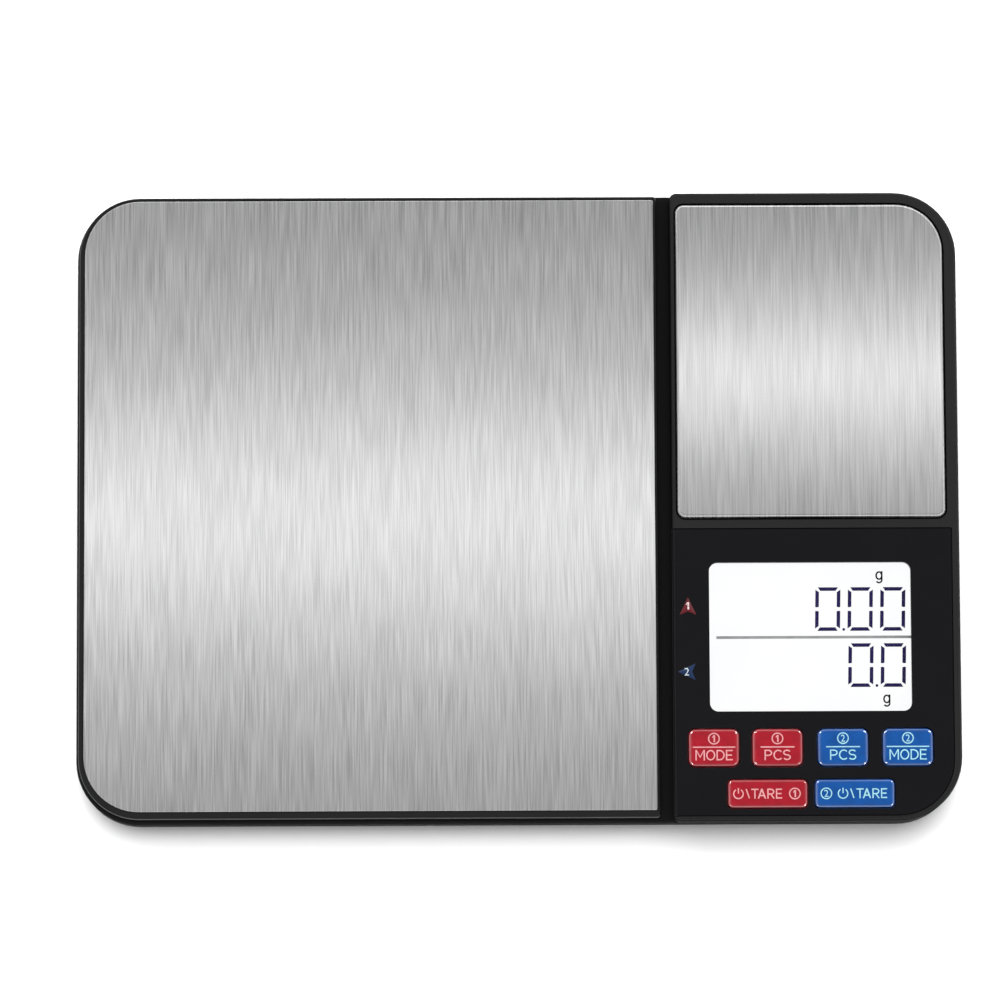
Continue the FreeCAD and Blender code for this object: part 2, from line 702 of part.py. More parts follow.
def post_outlines():
    """The posts that carry the platforms on the free ends of their load cells."""
    x0, x1 = MAIN_CELL_TRAY_HOLES
    main = Rect(x0 - 5.5, x1 + 5, -6, 6)
    x0, x1 = SMALL_CELL_TRAY_HOLES
    small = Rect(x0 - 4, x1 + 4, S.small_cell_y - 5, S.small_cell_y + 5)
    return main, small


def plate_outline():
    left_corner = TRAY_CORNER - S.plate_margin_left
    return Rect(TRAY_LEFT + S.plate_margin_left, S.tray_right - S.plate_margin_right,
                TRAY_FRONT + S.plate_margin_front, TRAY_REAR - S.plate_margin_rear,
                [left_corner, 0.6, 0.6, left_corner])


def cap_outline():
    small = S.cap_corner
    return Rect(S.cap_left, S.cap_right, S.cap_front, S.cap_rear,
                [small, small, S.cap_outer_corner, small])


def stiffening_ribs(x_places, y_places, x_ends, y_ends):
    """Outlines of thin ribs along Y at x_places and along X at y_places."""
    half = S.rib / 2
    along_y = [Rect(as_size(x) - half, as_size(x) + half, *y_ends) for x in x_places]
    along_x = [Rect(*x_ends, as_size(y) - half, as_size(y) + half) for y in y_places]
    return along_y, along_x


def make_large_tray():
    """Plastic tray under the large steel plate, with its post down to the load cell."""
    body = new_body("large_tray")
    outside = Rect(TRAY_LEFT, S.tray_right, TRAY_FRONT, TRAY_REAR, [TRAY_CORNER, 1, 1, TRAY_CORNER])
    ceiling = S.plate_seat - S.tray_ceiling
    post = post_outlines()[0]
    pad(body, "Outside", S.tray_bottom, S.tray_rim, [outside])
    round_edges(body, "RimEdge", S.tray_edge, at_height(S.tray_rim))
    pocket(body, "PlateSeat", S.plate_seat, S.tray_rim, [plate_outline().grown(S.plate_gap)])
    pocket(body, "Underside", S.tray_bottom, ceiling,
           [Rect(TRAY_LEFT, S.tray_right, TRAY_FRONT, TRAY_REAR,
                 [TRAY_CORNER, 3, 3, TRAY_CORNER]).grown(-S.tray_wall)])
    into_wall = S.tray_wall - 0.5
    along_y, along_x = stiffening_ribs(
        *LARGE_TRAY_RIBS, (TRAY_LEFT + into_wall, S.tray_right - into_wall),
        (TRAY_FRONT + into_wall, TRAY_REAR - into_wall))
    pad(body, "RibsAlongY", ceiling - S.rib_height, ceiling + S.overlap, along_y)
    pad(body, "RibsAlongX", ceiling - S.rib_height, ceiling + S.overlap, along_x)
    pad(body, "Post", S.main_cell_top, ceiling + S.overlap, [post])
    pocket(body, "PostHoles", S.main_cell_top, S.main_cell_top + S.tray_pilot_depth,
           discs([(x, 0) for x in MAIN_CELL_TRAY_HOLES], S.tray_pilot_radius))


def make_large_plate():
    body = new_body("large_plate")
    pad(body, "Sheet", S.plate_seat, S.plate_top, [plate_outline()])
    round_edges(body, "TopEdge", S.soft_edge, at_height(S.plate_top))


def make_small_tray():
    """Plastic tray inside the small plate, with its post down to the load cell."""
    body = new_body("small_tray")
    top = S.cap_top - S.cap_sheet
    ceiling = top - S.small_tray_ceiling
    skirt = cap_outline().grown(-S.cap_sheet - S.small_tray_gap)
    pad(body, "Outside", S.small_tray_bottom, top, [skirt])
    round_edges(body, "TopEdge", S.tray_edge, at_height(top))
    pocket(body, "Underside", S.small_tray_bottom, ceiling, [skirt.grown(-S.small_tray_wall)])
    into_wall = S.cap_sheet + S.small_tray_gap + S.small_tray_wall - 0.45
    along_y, along_x = stiffening_ribs(
        *SMALL_TRAY_RIBS, (S.cap_left + into_wall, S.cap_right - into_wall),
        (S.cap_front + into_wall, S.cap_rear - into_wall))
    pad(body, "RibsAlongY", ceiling - S.small_rib_height, ceiling + S.overlap, along_y)
    pad(body, "RibsAlongX", ceiling - S.small_rib_height, ceiling + S.overlap, along_x)
    pad(body, "Post", S.small_cell_top, ceiling + S.overlap, [post_outlines()[1]])
    pocket(body, "PostHoles", S.small_cell_top, S.small_cell_top + S.tray_pilot_depth,
           discs([(x, S.small_cell_y) for x in SMALL_CELL_TRAY_HOLES], S.tray_pilot_radius))


def make_small_plate():
    """Steel sheet with its sides folded down all round."""
    body = new_body("small_plate")
    pad(body, "Outside", S.cap_bottom, S.cap_top, [cap_outline()])
    round_edges(body, "TopEdge", S.cap_edge, at_height(S.cap_top))
    pocket(body, "Inside", S.cap_bottom, S.cap_top - S.cap_sheet, [cap_outline().grown(-S.cap_sheet)])
    round_edges(body, "InnerEdge", S.cap_inner_edge, at_height(S.cap_top - S.cap_sheet))


# ---------------------------------------------------------------------------
# Load cells and screws
# ---------------------------------------------------------------------------

def load_cell(label, x, y, length, width, z0, z1, bore, spread, holes, hole_radius):
    """Aluminium bar with two joined cross bores at its middle and two holes through each end."""
    left, right = x - length / 2, x + length / 2
    front, rear = y - width / 2, y + width / 2
    middle = (z0 + z1) / 2
    bar = block(label + "_bar", left, right, front, rear, z0, z1)
    tools = [rod(f"{label}_bore_{i}", "y", front - 1, rear + 1, bore, (x + side, middle))
             for i, side in enumerate((-spread, spread))]
    tools.append(block(label + "_slot", x - spread, x + spread, front - 1, rear + 1,
                       middle - bore * 0.45, middle + bore * 0.45))
    tools += [rod(f"{label}_hole_{i}", "z", z0 - 1, z1 + 1, hole_radius, (hole_x, y))
              for i, hole_x in enumerate(holes)]
    return cut(label, bar, tools)


def sealant(label, x, y, half_length, width, z0, z1):
    """Sleeve of soft sealant round the thin middle of a load cell."""
    half = width / 2
    outside = block(label + "_outside", x - half_length, x + half_length,
                    y - half - 0.5, y + half + 0.5, z0 - 0.4, z1 + 0.3)
    inside = block(label + "_inside", x - half_length - 1, x + half_length + 1,
                   y - half, y + half, z0, z1)
    return cut(label, outside, [inside])


def screw(label, x, y, head_z, seat_z, tip_z, head_radius, shank_radius):
    """Cross-head screw that points up, with its head between head_z and seat_z."""
    head_z, seat_z = as_size(head_z), as_size(seat_z)
    head = rod(label + "_head", "z", head_z, seat_z, head_radius, (x, y))
    shank = rod(label + "_shank", "z", seat_z - 0.2, tip_z, shank_radius, (x, y))
    whole = fuse(label + "_blank", [head, shank])
    reach, half = head_radius * 0.62, head_radius * 0.12
    top = head_z + 0.7
    x, y = as_size(x), as_size(y)
    cross = [
        block(label + "_cross_x", x - reach, x + reach, y - half, y + half, head_z - 1, top),
        block(label + "_cross_y", x - half, x + half, y - reach, y + reach, head_z - 1, top),
    ]
    return cut(label, whole, cross)


def screws(label, places, head_z, seat_z, tip_z, head_radius, shank_radius):
    items = [screw(f"{label}_{i}", x, y, head_z, seat_z, tip_z, head_radius, shank_radius)
             for i, (x, y) in enumerate(places)]
    return group(label, items)


def make_load_cells():
    main_holes = MAIN_CELL_BASE_HOLES + MAIN_CELL_TRAY_HOLES
    small_holes = SMALL_CELL_BASE_HOLES + SMALL_CELL_TRAY_HOLES
    load_cell("main_load_cell", S.main_cell_x, as_size(0), S.main_cell_length, S.main_cell_width,
              S.main_cell_bottom, S.main_cell_top, 2.4, 6, main_holes, 2)
    load_cell("small_load_cell", S.small_cell_x, S.small_cell_y, S.small_cell_length,
              S.small_cell_width, S.small_cell_bottom, S.small_cell_top, 2.2, 3.2, small_holes, 1.55)
    sealant("main_cell_sealant", S.main_cell_x, as_size(0), 10, S.main_cell_width,
            S.main_cell_bottom, S.main_cell_top)
    sealant("small_cell_sealant", S.small_cell_x, S.small_cell_y, 6, S.small_cell_width,
            S.small_cell_bottom, S.small_cell_top)


def make_screws():
    cell_y = S.small_cell_y
    screws("case_screws", CASE_SCREWS, S.screw_seat - 1.4, S.screw_seat, S.seam + 0.8, 2.7, 1.3)
    screws("main_cell_base_screws", [(x, 0) for x in MAIN_CELL_BASE_HOLES],
           S.main_screw_seat - 1.2, S.main_screw_seat, S.main_cell_top - 0.6, 3.6, 1.95)
    screws("main_cell_tray_screws", [(x, 0) for x in MAIN_CELL_TRAY_HOLES],
           S.main_cell_bottom - 1.5, S.main_cell_bottom, S.main_cell_top + 3.8, 3, 1.5)
    screws("small_cell_base_screws", [(x, cell_y) for x in SMALL_CELL_BASE_HOLES],
           S.screw_seat - 1.4, S.screw_seat, S.small_cell_top - 0.6, 2.7, 1.5)
    screws("small_cell_tray_screws", [(x, cell_y) for x in SMALL_CELL_TRAY_HOLES],
           S.small_cell_bottom - 1.4, S.small_cell_bottom, S.small_cell_top + 3.8, 2.6, 1.5)


# ---------------------------------------------------------------------------
# Control panel, keys and display
# ---------------------------------------------------------------------------

def panel_outline(left, small, inset=0.0):
    """The control panel in plan, from left on, with small corners but for the one in front at the right."""
    outer = S.case_corner - (CASE_RIGHT - S.panel_right) - inset
    return Rect(left + inset, S.panel_right - inset, S.panel_front + inset, S.panel_rear - inset,
                [small, outer, small, small])


def window_outline():
    return Rect(S.window_left, S.window_right, S.window_front, S.window_rear, S.window_corner)


def key_outline(x, y, width, depth, corner):
    return Rect(x - width / 2, x + width / 2, y - depth / 2, y + depth / 2, corner)


def make_control_panel():
    """Flat plate over the front of the housing; its rounded left edge covers the housing's wall."""
    body = new_body("control_panel")
    left = S.housing_left + S.panel_gap
    right = S.panel_right - S.panel_gap
    front = S.panel_front + S.panel_gap
    rear = S.panel_rear - S.panel_gap
    corner = S.case_corner - (CASE_RIGHT - S.panel_right) - S.panel_gap
    pad(body, "Sheet", S.panel_bottom, S.housing_top, [Rect(left, right, front, rear)])
    round_edges(body, "FrontRightCorner", corner, standing_at(right, front))
    round_edges(body, "RearRightCorner", S.panel_corner - S.panel_gap, standing_at(right, rear))
    top = at_height(S.housing_top)
    round_edges(body, "LeftEdge", S.panel_edge,
                lambda edge: top(edge) and edge.BoundBox.XMax < left.value + 1e-4)
    round_edges(body, "TopEdge", S.soft_edge,
                lambda edge: top(edge) and edge.BoundBox.XMax > right.value / 2 + left.value / 2)
    openings = [window_outline().grown(S.window_gap)]
    openings += [key_outline(*key[1:]).grown(S.key_gap) for key in KEYS]
    pocket(body, "Openings", S.panel_bottom, S.housing_top, openings)


def make_display():
    """Window, glass, light guide, frame and contact strips, from the top down to the board."""
    body = new_body("display_window")
    pad(body, "Flange", S.panel_bottom - S.window_flange, S.panel_bottom,
        [window_outline().grown(S.window_flange)])
    pad(body, "Pane", S.panel_bottom, S.window_top, [window_outline()])
    round_edges(body, "TopEdge", S.soft_edge, at_height(S.window_top))

    left, right = S.window_left - 1.9, S.window_right + 1.9
    front, rear = S.window_front - 2, S.window_rear + 2.2
    glass_bottom = S.board_top + 3.8
    block("display_glass", left, right, front, rear, glass_bottom, glass_bottom + 2.2)
    block("display_light_guide", left + 0.8, right - 0.8, front + 2.4, rear - 2.4,
          S.board_top + 0.2, glass_bottom - 0.2)
    strips = [
        block("display_strip_front", left + 2, right - 2, front + 0.3, front + 2,
              S.board_top, glass_bottom),
        block("display_strip_rear", left + 2, right - 2, rear - 2, rear - 0.3,
              S.board_top, glass_bottom),
    ]
    group("display_contact_strips", strips)

    frame = new_body("display_frame")
    inside = Rect(left - 0.15, right + 0.15, front - 0.15, rear + 0.15)
    pad(frame, "Ring", S.board_top, glass_bottom + 2.5, [inside.grown(1.1), inside])


def make_keys():
    """Six key caps, each on its own switch plunger."""
    for name, x, y, *size in KEYS:
        outline = key_outline(x, y, *size)
        body = new_body(name + "_key")
        pad(body, "Flange", S.flange_bottom, S.flange_top, [outline.grown(S.flange_width)])
        pad(body, "Cap", S.flange_top, S.key_top, [outline])
        pad(body, "Stem", S.stem_bottom, S.flange_bottom, [Disc(x, y, S.stem_radius)])
        round_edges(body, "TopEdge", S.key_edge, at_height(S.key_top))
        rod(name + "_plunger", "z", S.switch_top - 1.2, S.stem_bottom, S.plunger_radius, (x, y))


def make_switches():
    half = S.switch_side / 2
    items = []
    for name, x, y, *_ in KEYS:
        x, y = as_size(x), as_size(y)
        case = block(name + "_switch_case", x - half, x + half, y - half, y + half,
                     S.board_top, S.switch_top)
        bore = rod(name + "_switch_bore", "z", S.switch_top - 1.8, S.switch_top + 1,
                   S.plunger_radius + 0.2, (x, y))
        items.append(cut(name + "_switch", case, [bore]))
    group("key_switches", items)


# ---------------------------------------------------------------------------
# Circuit board
# ---------------------------------------------------------------------------

def make_board():
    """The board with its screws and the parts soldered under it."""
    body = new_body("circuit_board")
    pad(body, "Sheet", S.board_bottom, S.board_top, [Polygon(BOARD_OUTLINE)])
    pocket(body, "ScrewHoles", S.board_bottom, S.board_top, discs(BOARD_SCREWS, S.board_hole_radius))
    screws_down = []
    for i, (x, y) in enumerate(BOARD_SCREWS):
        head = rod(f"board_screw_head_{i}", "z", S.board_top, S.board_top + 1.3, 2.2, (x, y))
        shank = rod(f"board_screw_shank_{i}", "z", S.board_bottom - 3.6, S.board_top + 0.2, 1, (x, y))
        screws_down.append(fuse(f"board_screw_{i}", [head, shank]))
    group("board_screws", screws_down)

    under = S.board_bottom
    blob = new_body("controller_chip")
    pad(blob, "Resin", under - 1.6, under, [Disc(*CONTROLLER_PLACE, CONTROLLER_RADIUS)])
    round_edges(blob, "Dome", 1.4, at_height(under - 1.6))
    block("converter_chip", 60, 70, -34, -28, under - 1.6, under)
    block("board_crystal", 98, 103, -46, -43, under - 1.4, under)
    length, width, height = CAPACITOR_SIZE
    group("board_capacitors", [
        block(f"board_capacitor_{i}", x - length / 2, x + length / 2, y - width / 2, y + width / 2,
              under - height, under)
        for i, (x, y) in enumerate(CAPACITOR_PLACES)
    ])


# ---------------------------------------------------------------------------
# Battery bay
# ---------------------------------------------------------------------------

def battery(label, y, minus_end, towards_plus):
    """One AAA cell along X: its plain end at minus_end, its button towards_plus (1 right, -1 left)."""
    plus_end = minus_end + towards_plus * BATTERY_LENGTH
    button_end = plus_end + towards_plus
    body_ends = sorted((minus_end, plus_end))
    button_ends = sorted((plus_end - towards_plus * 0.5, button_end))
    return fuse(label, [
        rod(label + "_body", "x", *body_ends, S.battery_radius, (y, S.battery_z)),
        rod(label + "_button", "x", *button_ends, BATTERY_BUTTON_RADIUS, (y, S.battery_z)),
    ])


def contact_spring(label, x, y, length, towards):
    """Coiled wire from a contact sheet at x to the plain end of a battery."""
    wire = SPRING_WIRE_RADIUS
    helix = Part.makeHelix((length - 2 * wire) / SPRING_TURNS, length - 2 * wire, SPRING_RADIUS)
    start = Vector(SPRING_RADIUS, 0, 0)
    section = Part.Wire(Part.Circle(start, Vector(0, 1, 0), wire).toShape())
    shape = Part.Wire(helix).makePipeShell([section], True, True)
    item = doc.addObject("Part::Feature", label)
    item.Label = label
    item.Shape = shape
    turn = FreeCAD.Rotation(Vector(0, 1, 0), 90 * towards)
    item.Placement = FreeCAD.Placement(Vector(x + towards * wire, y, S.battery_z.value), turn)
    return item


def contact_sheet(label, x0, y0, y1):
    return block(label, x0, S.contact_sheet + x0, y0, y1, S.contact_bottom, S.contact_top)


def make_batteries():
    """Two AAA cells in opposite directions with their contacts at both ends of the bay."""
    front, rear = BATTERY_ROWS
    left = S.bay_left.value + 0.1
    right = S.bay_right.value - 0.1
    sheet = S.contact_sheet.value
    left_face = left + sheet
    right_face = right - sheet
    front_minus = left_face + BUMP_HEIGHT + 1 + BATTERY_LENGTH
    rear_minus = right_face - BUMP_HEIGHT - 1 - BATTERY_LENGTH
    group("battery_cells", [
        battery("battery_front", front, front_minus, -1),
        battery("battery_rear", rear, rear_minus, 1),
    ])

    def tab(label, y):
        y = as_size(y)
        return block(label, TAB_END, left_face, y - S.tab_half_width, y + S.tab_half_width,
                     S.tab_bottom, S.tab_bottom + S.contact_sheet)

    fuse("battery_button_contact", [
        contact_sheet("button_sheet", left, front - 4, front + 4),
        rod("button_bump", "x", left, left_face + BUMP_HEIGHT, BUMP_RADIUS, (front, S.battery_z)),
        tab("button_tab", front),
    ])
    fuse("battery_spring_contact", [
        contact_sheet("spring_sheet", left, rear - 4, rear + 4),
        contact_spring("spring_coil", left_face - 0.15, rear, rear_minus - left_face + 0.15, 1),
        tab("spring_tab", rear),
    ])
    fuse("battery_bridge_contact", [
        contact_sheet("bridge_sheet", right - sheet, front - 4, rear + 4),
        rod("bridge_bump", "x", right_face - BUMP_HEIGHT, right, BUMP_RADIUS, (rear, S.battery_z)),
        contact_spring("bridge_coil", right_face + 0.15, front, right_face - front_minus + 0.15, -1),
    ])


def make_battery_door():
    """Flush door that swings down about its front edge; two hooks hold it in the box wall."""
    body = new_body("battery_door")
    front = S.bay_front + S.door_gap
    half = S.hook_half_width
    hooks = [as_size(x) for x in DOOR_HOOKS]
    pad(body, "Panel", S.base_bottom, S.door_top, [bay_outline(S.door_gap)])
    pad(body, "HookRoots", S.door_top, S.door_top + 1.1,
        [Rect(x - half, x + half, front, front + 0.9) for x in hooks])
    pad(body, "Hooks", S.door_top + 0.4, S.door_top + 1.1,
        [Rect(x - half, x + half, S.bay_front - 1.2, front + 0.3) for x in hooks])
    pocket(body, "LatchSlits", S.base_bottom, S.door_top,
           [Rect(x - 0.4, x + 0.4, S.bay_rear - 8, S.bay_rear + 1) for x in LATCH_SLITS])
    lowest = at_height(S.base_bottom)
    round_edges(body, "OuterEdge", S.soft_edge, lambda edge: lowest(edge) and edge.Length > 20)


# ---------------------------------------------------------------------------
# Wires inside the case
# ---------------------------------------------------------------------------

def make_wires():
    """Each run lies level under the circuit board's lower face."""
    z = CELL_WIRE_Z
    half_main = S.main_cell_width.value / 2 + 0.5
    routed_tube("main_cell_wires",
                [(-44, -half_main, z), (-44, -16, z), (-20, -19, z), (20, -16, z), (60, -18, z)],
                CELL_WIRE_RADIUS, CELL_WIRE_BEND)
    start_y = S.small_cell_y.value - S.small_cell_width.value / 2 - 0.5
    routed_tube("small_cell_wires",
                [(83.2, start_y, z), (83.2, 22, z), (72, 6, z), (72, -14, z)],
                CELL_WIRE_RADIUS, CELL_WIRE_BEND)
    z = BATTERY_WIRE_Z
    front, rear = BATTERY_ROWS
    routed_tube("battery_positive_wire",
                [(TAB_END, front, z), (49.4, front, z), (49.4, front - 8, z), (50, 10, z),
                 (49.6, -10, z)], BATTERY_WIRE_RADIUS, 1.2)
    routed_tube("battery_negative_wire",
                [(TAB_END, rear, z), (47.4, rear, z), (47.2, rear - 10, z), (47.9, 12, z),
                 (47.6, -11, z)], BATTERY_WIRE_RADIUS, 1.4)


# ---------------------------------------------------------------------------
# Build, check and write
# ---------------------------------------------------------------------------

SUB_PARTS = [
    "base_shell", "top_cover", "foot_front_left", "foot_rear_left", "foot_front_right",
    "foot_rear_right", "rating_label", "case_screws",
    "large_tray", "large_plate", "small_tray", "small_plate",
    "main_load_cell", "main_cell_sealant", "main_cell_base_screws", "main_cell_tray_screws",
    "main_cell_wires",
    "small_load_cell", "small_cell_sealant", "small_cell_base_screws", "small_cell_tray_screws",
    "small_cell_wires",
    "control_panel", "display_window", "display_glass", "display_light_guide", "display_frame",
    "display_contact_strips",
    "circuit_board", "board_screws", "controller_chip", "converter_chip", "board_crystal",
    "board_capacitors", "key_switches",
    "battery_cells", "battery_button_contact", "battery_spring_contact", "battery_bridge_contact",
    "battery_positive_wire", "battery_negative_wire", "battery_door",
]
SUB_PARTS += [key[0] + "_key" for key in KEYS]
SUB_PARTS += [key[0] + "_plunger" for key in KEYS]


def build():
    make_base_shell()
    make_top_cover()
    make_feet()
    make_label()
    make_large_tray()
    make_large_plate()
    make_small_tray()
    make_small_plate()
    make_load_cells()
    make_screws()
    make_control_panel()
    make_display()
    make_keys()
    make_switches()
    make_board()
    make_batteries()
    make_battery_door()
    make_wires()
    doc.recompute()


def check_objects():
    """Stops if an object of the document failed or a sub-part has no sound shape."""
    for item in doc.Objects:
        if "Invalid" in item.State or "Error" in item.State:
            raise RuntimeError(f"{item.Name} failed: {item.State}")
    for label in SUB_PARTS:
        shape = doc.getObjectsByLabel(label)[0].Shape
        if shape.isNull() or not shape.isValid() or not shape.Solids:
            raise RuntimeError(f"{label} has no sound solid")


def write_parts():
    os.makedirs("parts", exist_ok=True)
    for label in SUB_PARTS:
        doc.getObjectsByLabel(label)[0].Shape.exportStep(f"parts/{label}.step")


build()
check_objects()
write_parts()
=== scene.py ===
"""A slim counting scale with two platforms: its finishes, lit display, key legends and the studio."""

import json
import math

import bmesh
import bpy
from mathutils import Euler, Matrix, Vector

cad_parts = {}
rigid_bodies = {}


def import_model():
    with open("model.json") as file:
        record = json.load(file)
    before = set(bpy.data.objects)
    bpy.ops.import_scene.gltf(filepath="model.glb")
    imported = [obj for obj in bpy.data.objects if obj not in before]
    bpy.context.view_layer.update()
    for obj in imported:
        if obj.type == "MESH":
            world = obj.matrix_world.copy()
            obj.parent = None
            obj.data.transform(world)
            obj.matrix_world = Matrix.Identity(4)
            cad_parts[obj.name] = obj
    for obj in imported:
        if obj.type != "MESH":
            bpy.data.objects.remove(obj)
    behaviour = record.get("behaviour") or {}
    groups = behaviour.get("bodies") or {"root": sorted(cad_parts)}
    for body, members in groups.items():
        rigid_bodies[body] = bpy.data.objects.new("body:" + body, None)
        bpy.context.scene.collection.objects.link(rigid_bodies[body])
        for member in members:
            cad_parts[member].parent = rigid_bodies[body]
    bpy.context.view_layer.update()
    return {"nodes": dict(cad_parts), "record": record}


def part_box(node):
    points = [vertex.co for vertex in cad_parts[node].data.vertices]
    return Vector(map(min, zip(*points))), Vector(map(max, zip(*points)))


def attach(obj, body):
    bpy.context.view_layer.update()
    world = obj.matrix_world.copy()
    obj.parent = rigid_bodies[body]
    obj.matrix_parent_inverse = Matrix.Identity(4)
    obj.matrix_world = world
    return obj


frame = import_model()

MM = 0.001


# ---------------------------------------------------------------- node materials

class Finish:
    """A node material round one Principled shader. Its patterns are in metres, in the object's frame."""

    def __init__(self, name, colour, roughness, **sockets):
        self.material = bpy.data.materials.new(name)
        self.material.use_nodes = True
        self.nodes = self.material.node_tree.nodes
        self.links = self.material.node_tree.links
        self.shader = self.nodes["Principled BSDF"]
        self.place = self.nodes.new("ShaderNodeTexCoord").outputs["Object"]
        self.normal = None
        self.set("Base Color", (*colour, 1.0))
        self.set("Roughness", roughness)
        for socket, value in sockets.items():
            self.set(socket.replace("_", " "), value)

    def set(self, socket, value):
        self.shader.inputs[socket].default_value = value

    def drive(self, socket, output):
        self.links.new(output, self.shader.inputs[socket])

    def add(self, kind, settings=None, **inputs):
        """A new node; inputs are values or other nodes' outputs."""
        node = self.nodes.new(kind)
        for name, value in (settings or {}).items():
            setattr(node, name, value)
        for name, value in inputs.items():
            socket = node.inputs[int(name[1:])] if name[0] == "_" else node.inputs[name]
            if isinstance(value, bpy.types.NodeSocket):
                self.links.new(value, socket)
            else:
                socket.default_value = value
        return node

    def noise(self, size, detail=2.0, stretch=(1.0, 1.0, 1.0), offset=(0.0, 0.0, 0.0)):
        """Noise whose blots are about size metres across, drawn out along an axis by stretch."""
        scale = tuple(1.0 / (size * s) for s in stretch)
        moved = self.add("ShaderNodeMapping", Vector=self.place, Location=offset, Scale=scale)
        noise = self.add("ShaderNodeTexNoise", Vector=moved.outputs[0], Scale=1.0, Detail=detail)
        return noise.outputs["Fac"]

    def spread(self, source, low, high, first=0.3, last=0.7):
        """source, whose values lie mostly from first to last, as a value from low to high."""
        ranged = self.add("ShaderNodeMapRange", _0=source, _1=first, _2=last, _3=low, _4=high)
        return ranged.outputs[0]

    def tint(self, source, dark, light, first=0.3, last=0.7):
        """A colour from dark to light as source goes from first to last."""
        share = self.spread(source, 0.0, 1.0, first, last)
        mix = self.add("ShaderNodeMix", {"data_type": "RGBA"}, _0=share, _6=(*dark, 1.0), _7=(*light, 1.0))
        return mix.outputs[2]

    def facing_up(self):
        """How far the surface faces up: 1 for level, 0 for upright, less than 0 underneath."""
        normal = self.add("ShaderNodeNewGeometry").outputs["Normal"]
        return self.add("ShaderNodeSeparateXYZ", Vector=normal).outputs[2]

    def bump(self, height, depth):
        """Adds a relief of that depth in metres under the reliefs added before."""
        bump = self.add("ShaderNodeBump", Height=height, Distance=depth, Strength=1.0)
        if self.normal is not None:
            self.links.new(self.normal, bump.inputs["Normal"])
        self.normal = bump.outputs[0]
        self.drive("Normal", self.normal)


def shade(colour, factor):
    return tuple(min(1.0, c * factor) for c in colour)


PLASTIC_IOR = 1.5
SIDE_IOR = 1.04
LOW_GLOSS = 0.5
GLOSS_CHANGE = 1 * MM
MATT_TILT = 0.45
CLOUD_SIZE = 14 * MM
TINT_DARK = 0.88
TINT_LIGHT = 1.12
GRAIN_ROUGHNESS = 0.05


def moulded(name, colour, roughness, grain=0.30 * MM, depth=0.006 * MM, dull_to=None, **sockets):
    """Moulded plastic with the fine grain of its tool.

    With dull_to, only faces that look up are glossy, and those lower than dull_to are less so.
    """
    made = Finish(name, colour, roughness, **sockets)
    if dull_to is not None:
        height = made.add("ShaderNodeSeparateXYZ", Vector=made.place).outputs[2]
        low = made.spread(height, LOW_GLOSS, 1.0, dull_to - GLOSS_CHANGE, dull_to + GLOSS_CHANGE)
        side = made.spread(made.facing_up(), 0.0, 1.0, MATT_TILT, 1.0)
        gloss = made.add("ShaderNodeMath", {"operation": "MULTIPLY"}, _0=side, _1=low).outputs[0]
        made.drive("IOR", made.spread(gloss, SIDE_IOR, PLASTIC_IOR, 0.0, 1.0))
    fine = made.noise(grain, detail=3.0)
    broad = made.noise(CLOUD_SIZE, detail=2.0, offset=(3.1, 1.7, 0.4))
    made.drive("Base Color", made.tint(broad, shade(colour, TINT_DARK), shade(colour, TINT_LIGHT)))
    made.drive("Roughness", made.spread(fine, roughness - GRAIN_ROUGHNESS, roughness + GRAIN_ROUGHNESS))
    made.bump(fine, depth)
    return made.material


# A fine haze on glossy plastic: its size, detail, stretch and offset.
HAZE = (0.25 * MM, 2.0, (1.0, 1.0, 1.0), (0.8, 2.2, 1.1))


def polished(name, colour, roughness, **sockets):
    """Glossy plastic with the faint ripple of a polished mould."""
    made = Finish(name, colour, roughness, **sockets)
    ripple = made.noise(2.4 * MM, detail=2.0)
    haze = made.noise(*HAZE)
    made.drive("Base Color", made.tint(ripple, shade(colour, 0.93), shade(colour, 1.07)))
    made.drive("Roughness", made.spread(haze, roughness * 0.8, roughness * 1.25))
    made.bump(ripple, 0.004 * MM)
    return made.material


STEEL_DARK = (0.66, 0.66, 0.665)
STEEL_LIGHT = (0.99, 0.99, 0.995)
# The brushing's three widths of mark: their size across, detail, stretch and offset.
HAIR = (0.26 * MM, 1.0, (1.0, 60.0, 60.0), (0.3, 0.1, 0.0))
STREAK = (0.42 * MM, 1.0, (1.0, 42.0, 42.0), (1.9, 0.7, 0.0))
BAND = (2.8 * MM, 1.0, (1.0, 12.0, 12.0), (4.2, 2.6, 0.0))
BAND_SHARE = 0.3
HAIR_DEPTH = 0.0016 * MM
STREAK_MIDDLE = 1.15
STREAK_SPREAD = 0.30
STEEL_SMOOTH = 0.27
STEEL_ROUGH = 0.35
# Painted shade on the plates' turned-down rim: fullest where the surface faces up no more than the first
# figure, and gone from the second up.
RIM_SHADE_TILT = 0.75
RIM_SHADE_END_TILT = 0.98
CROWN_SLOPE = 0.135


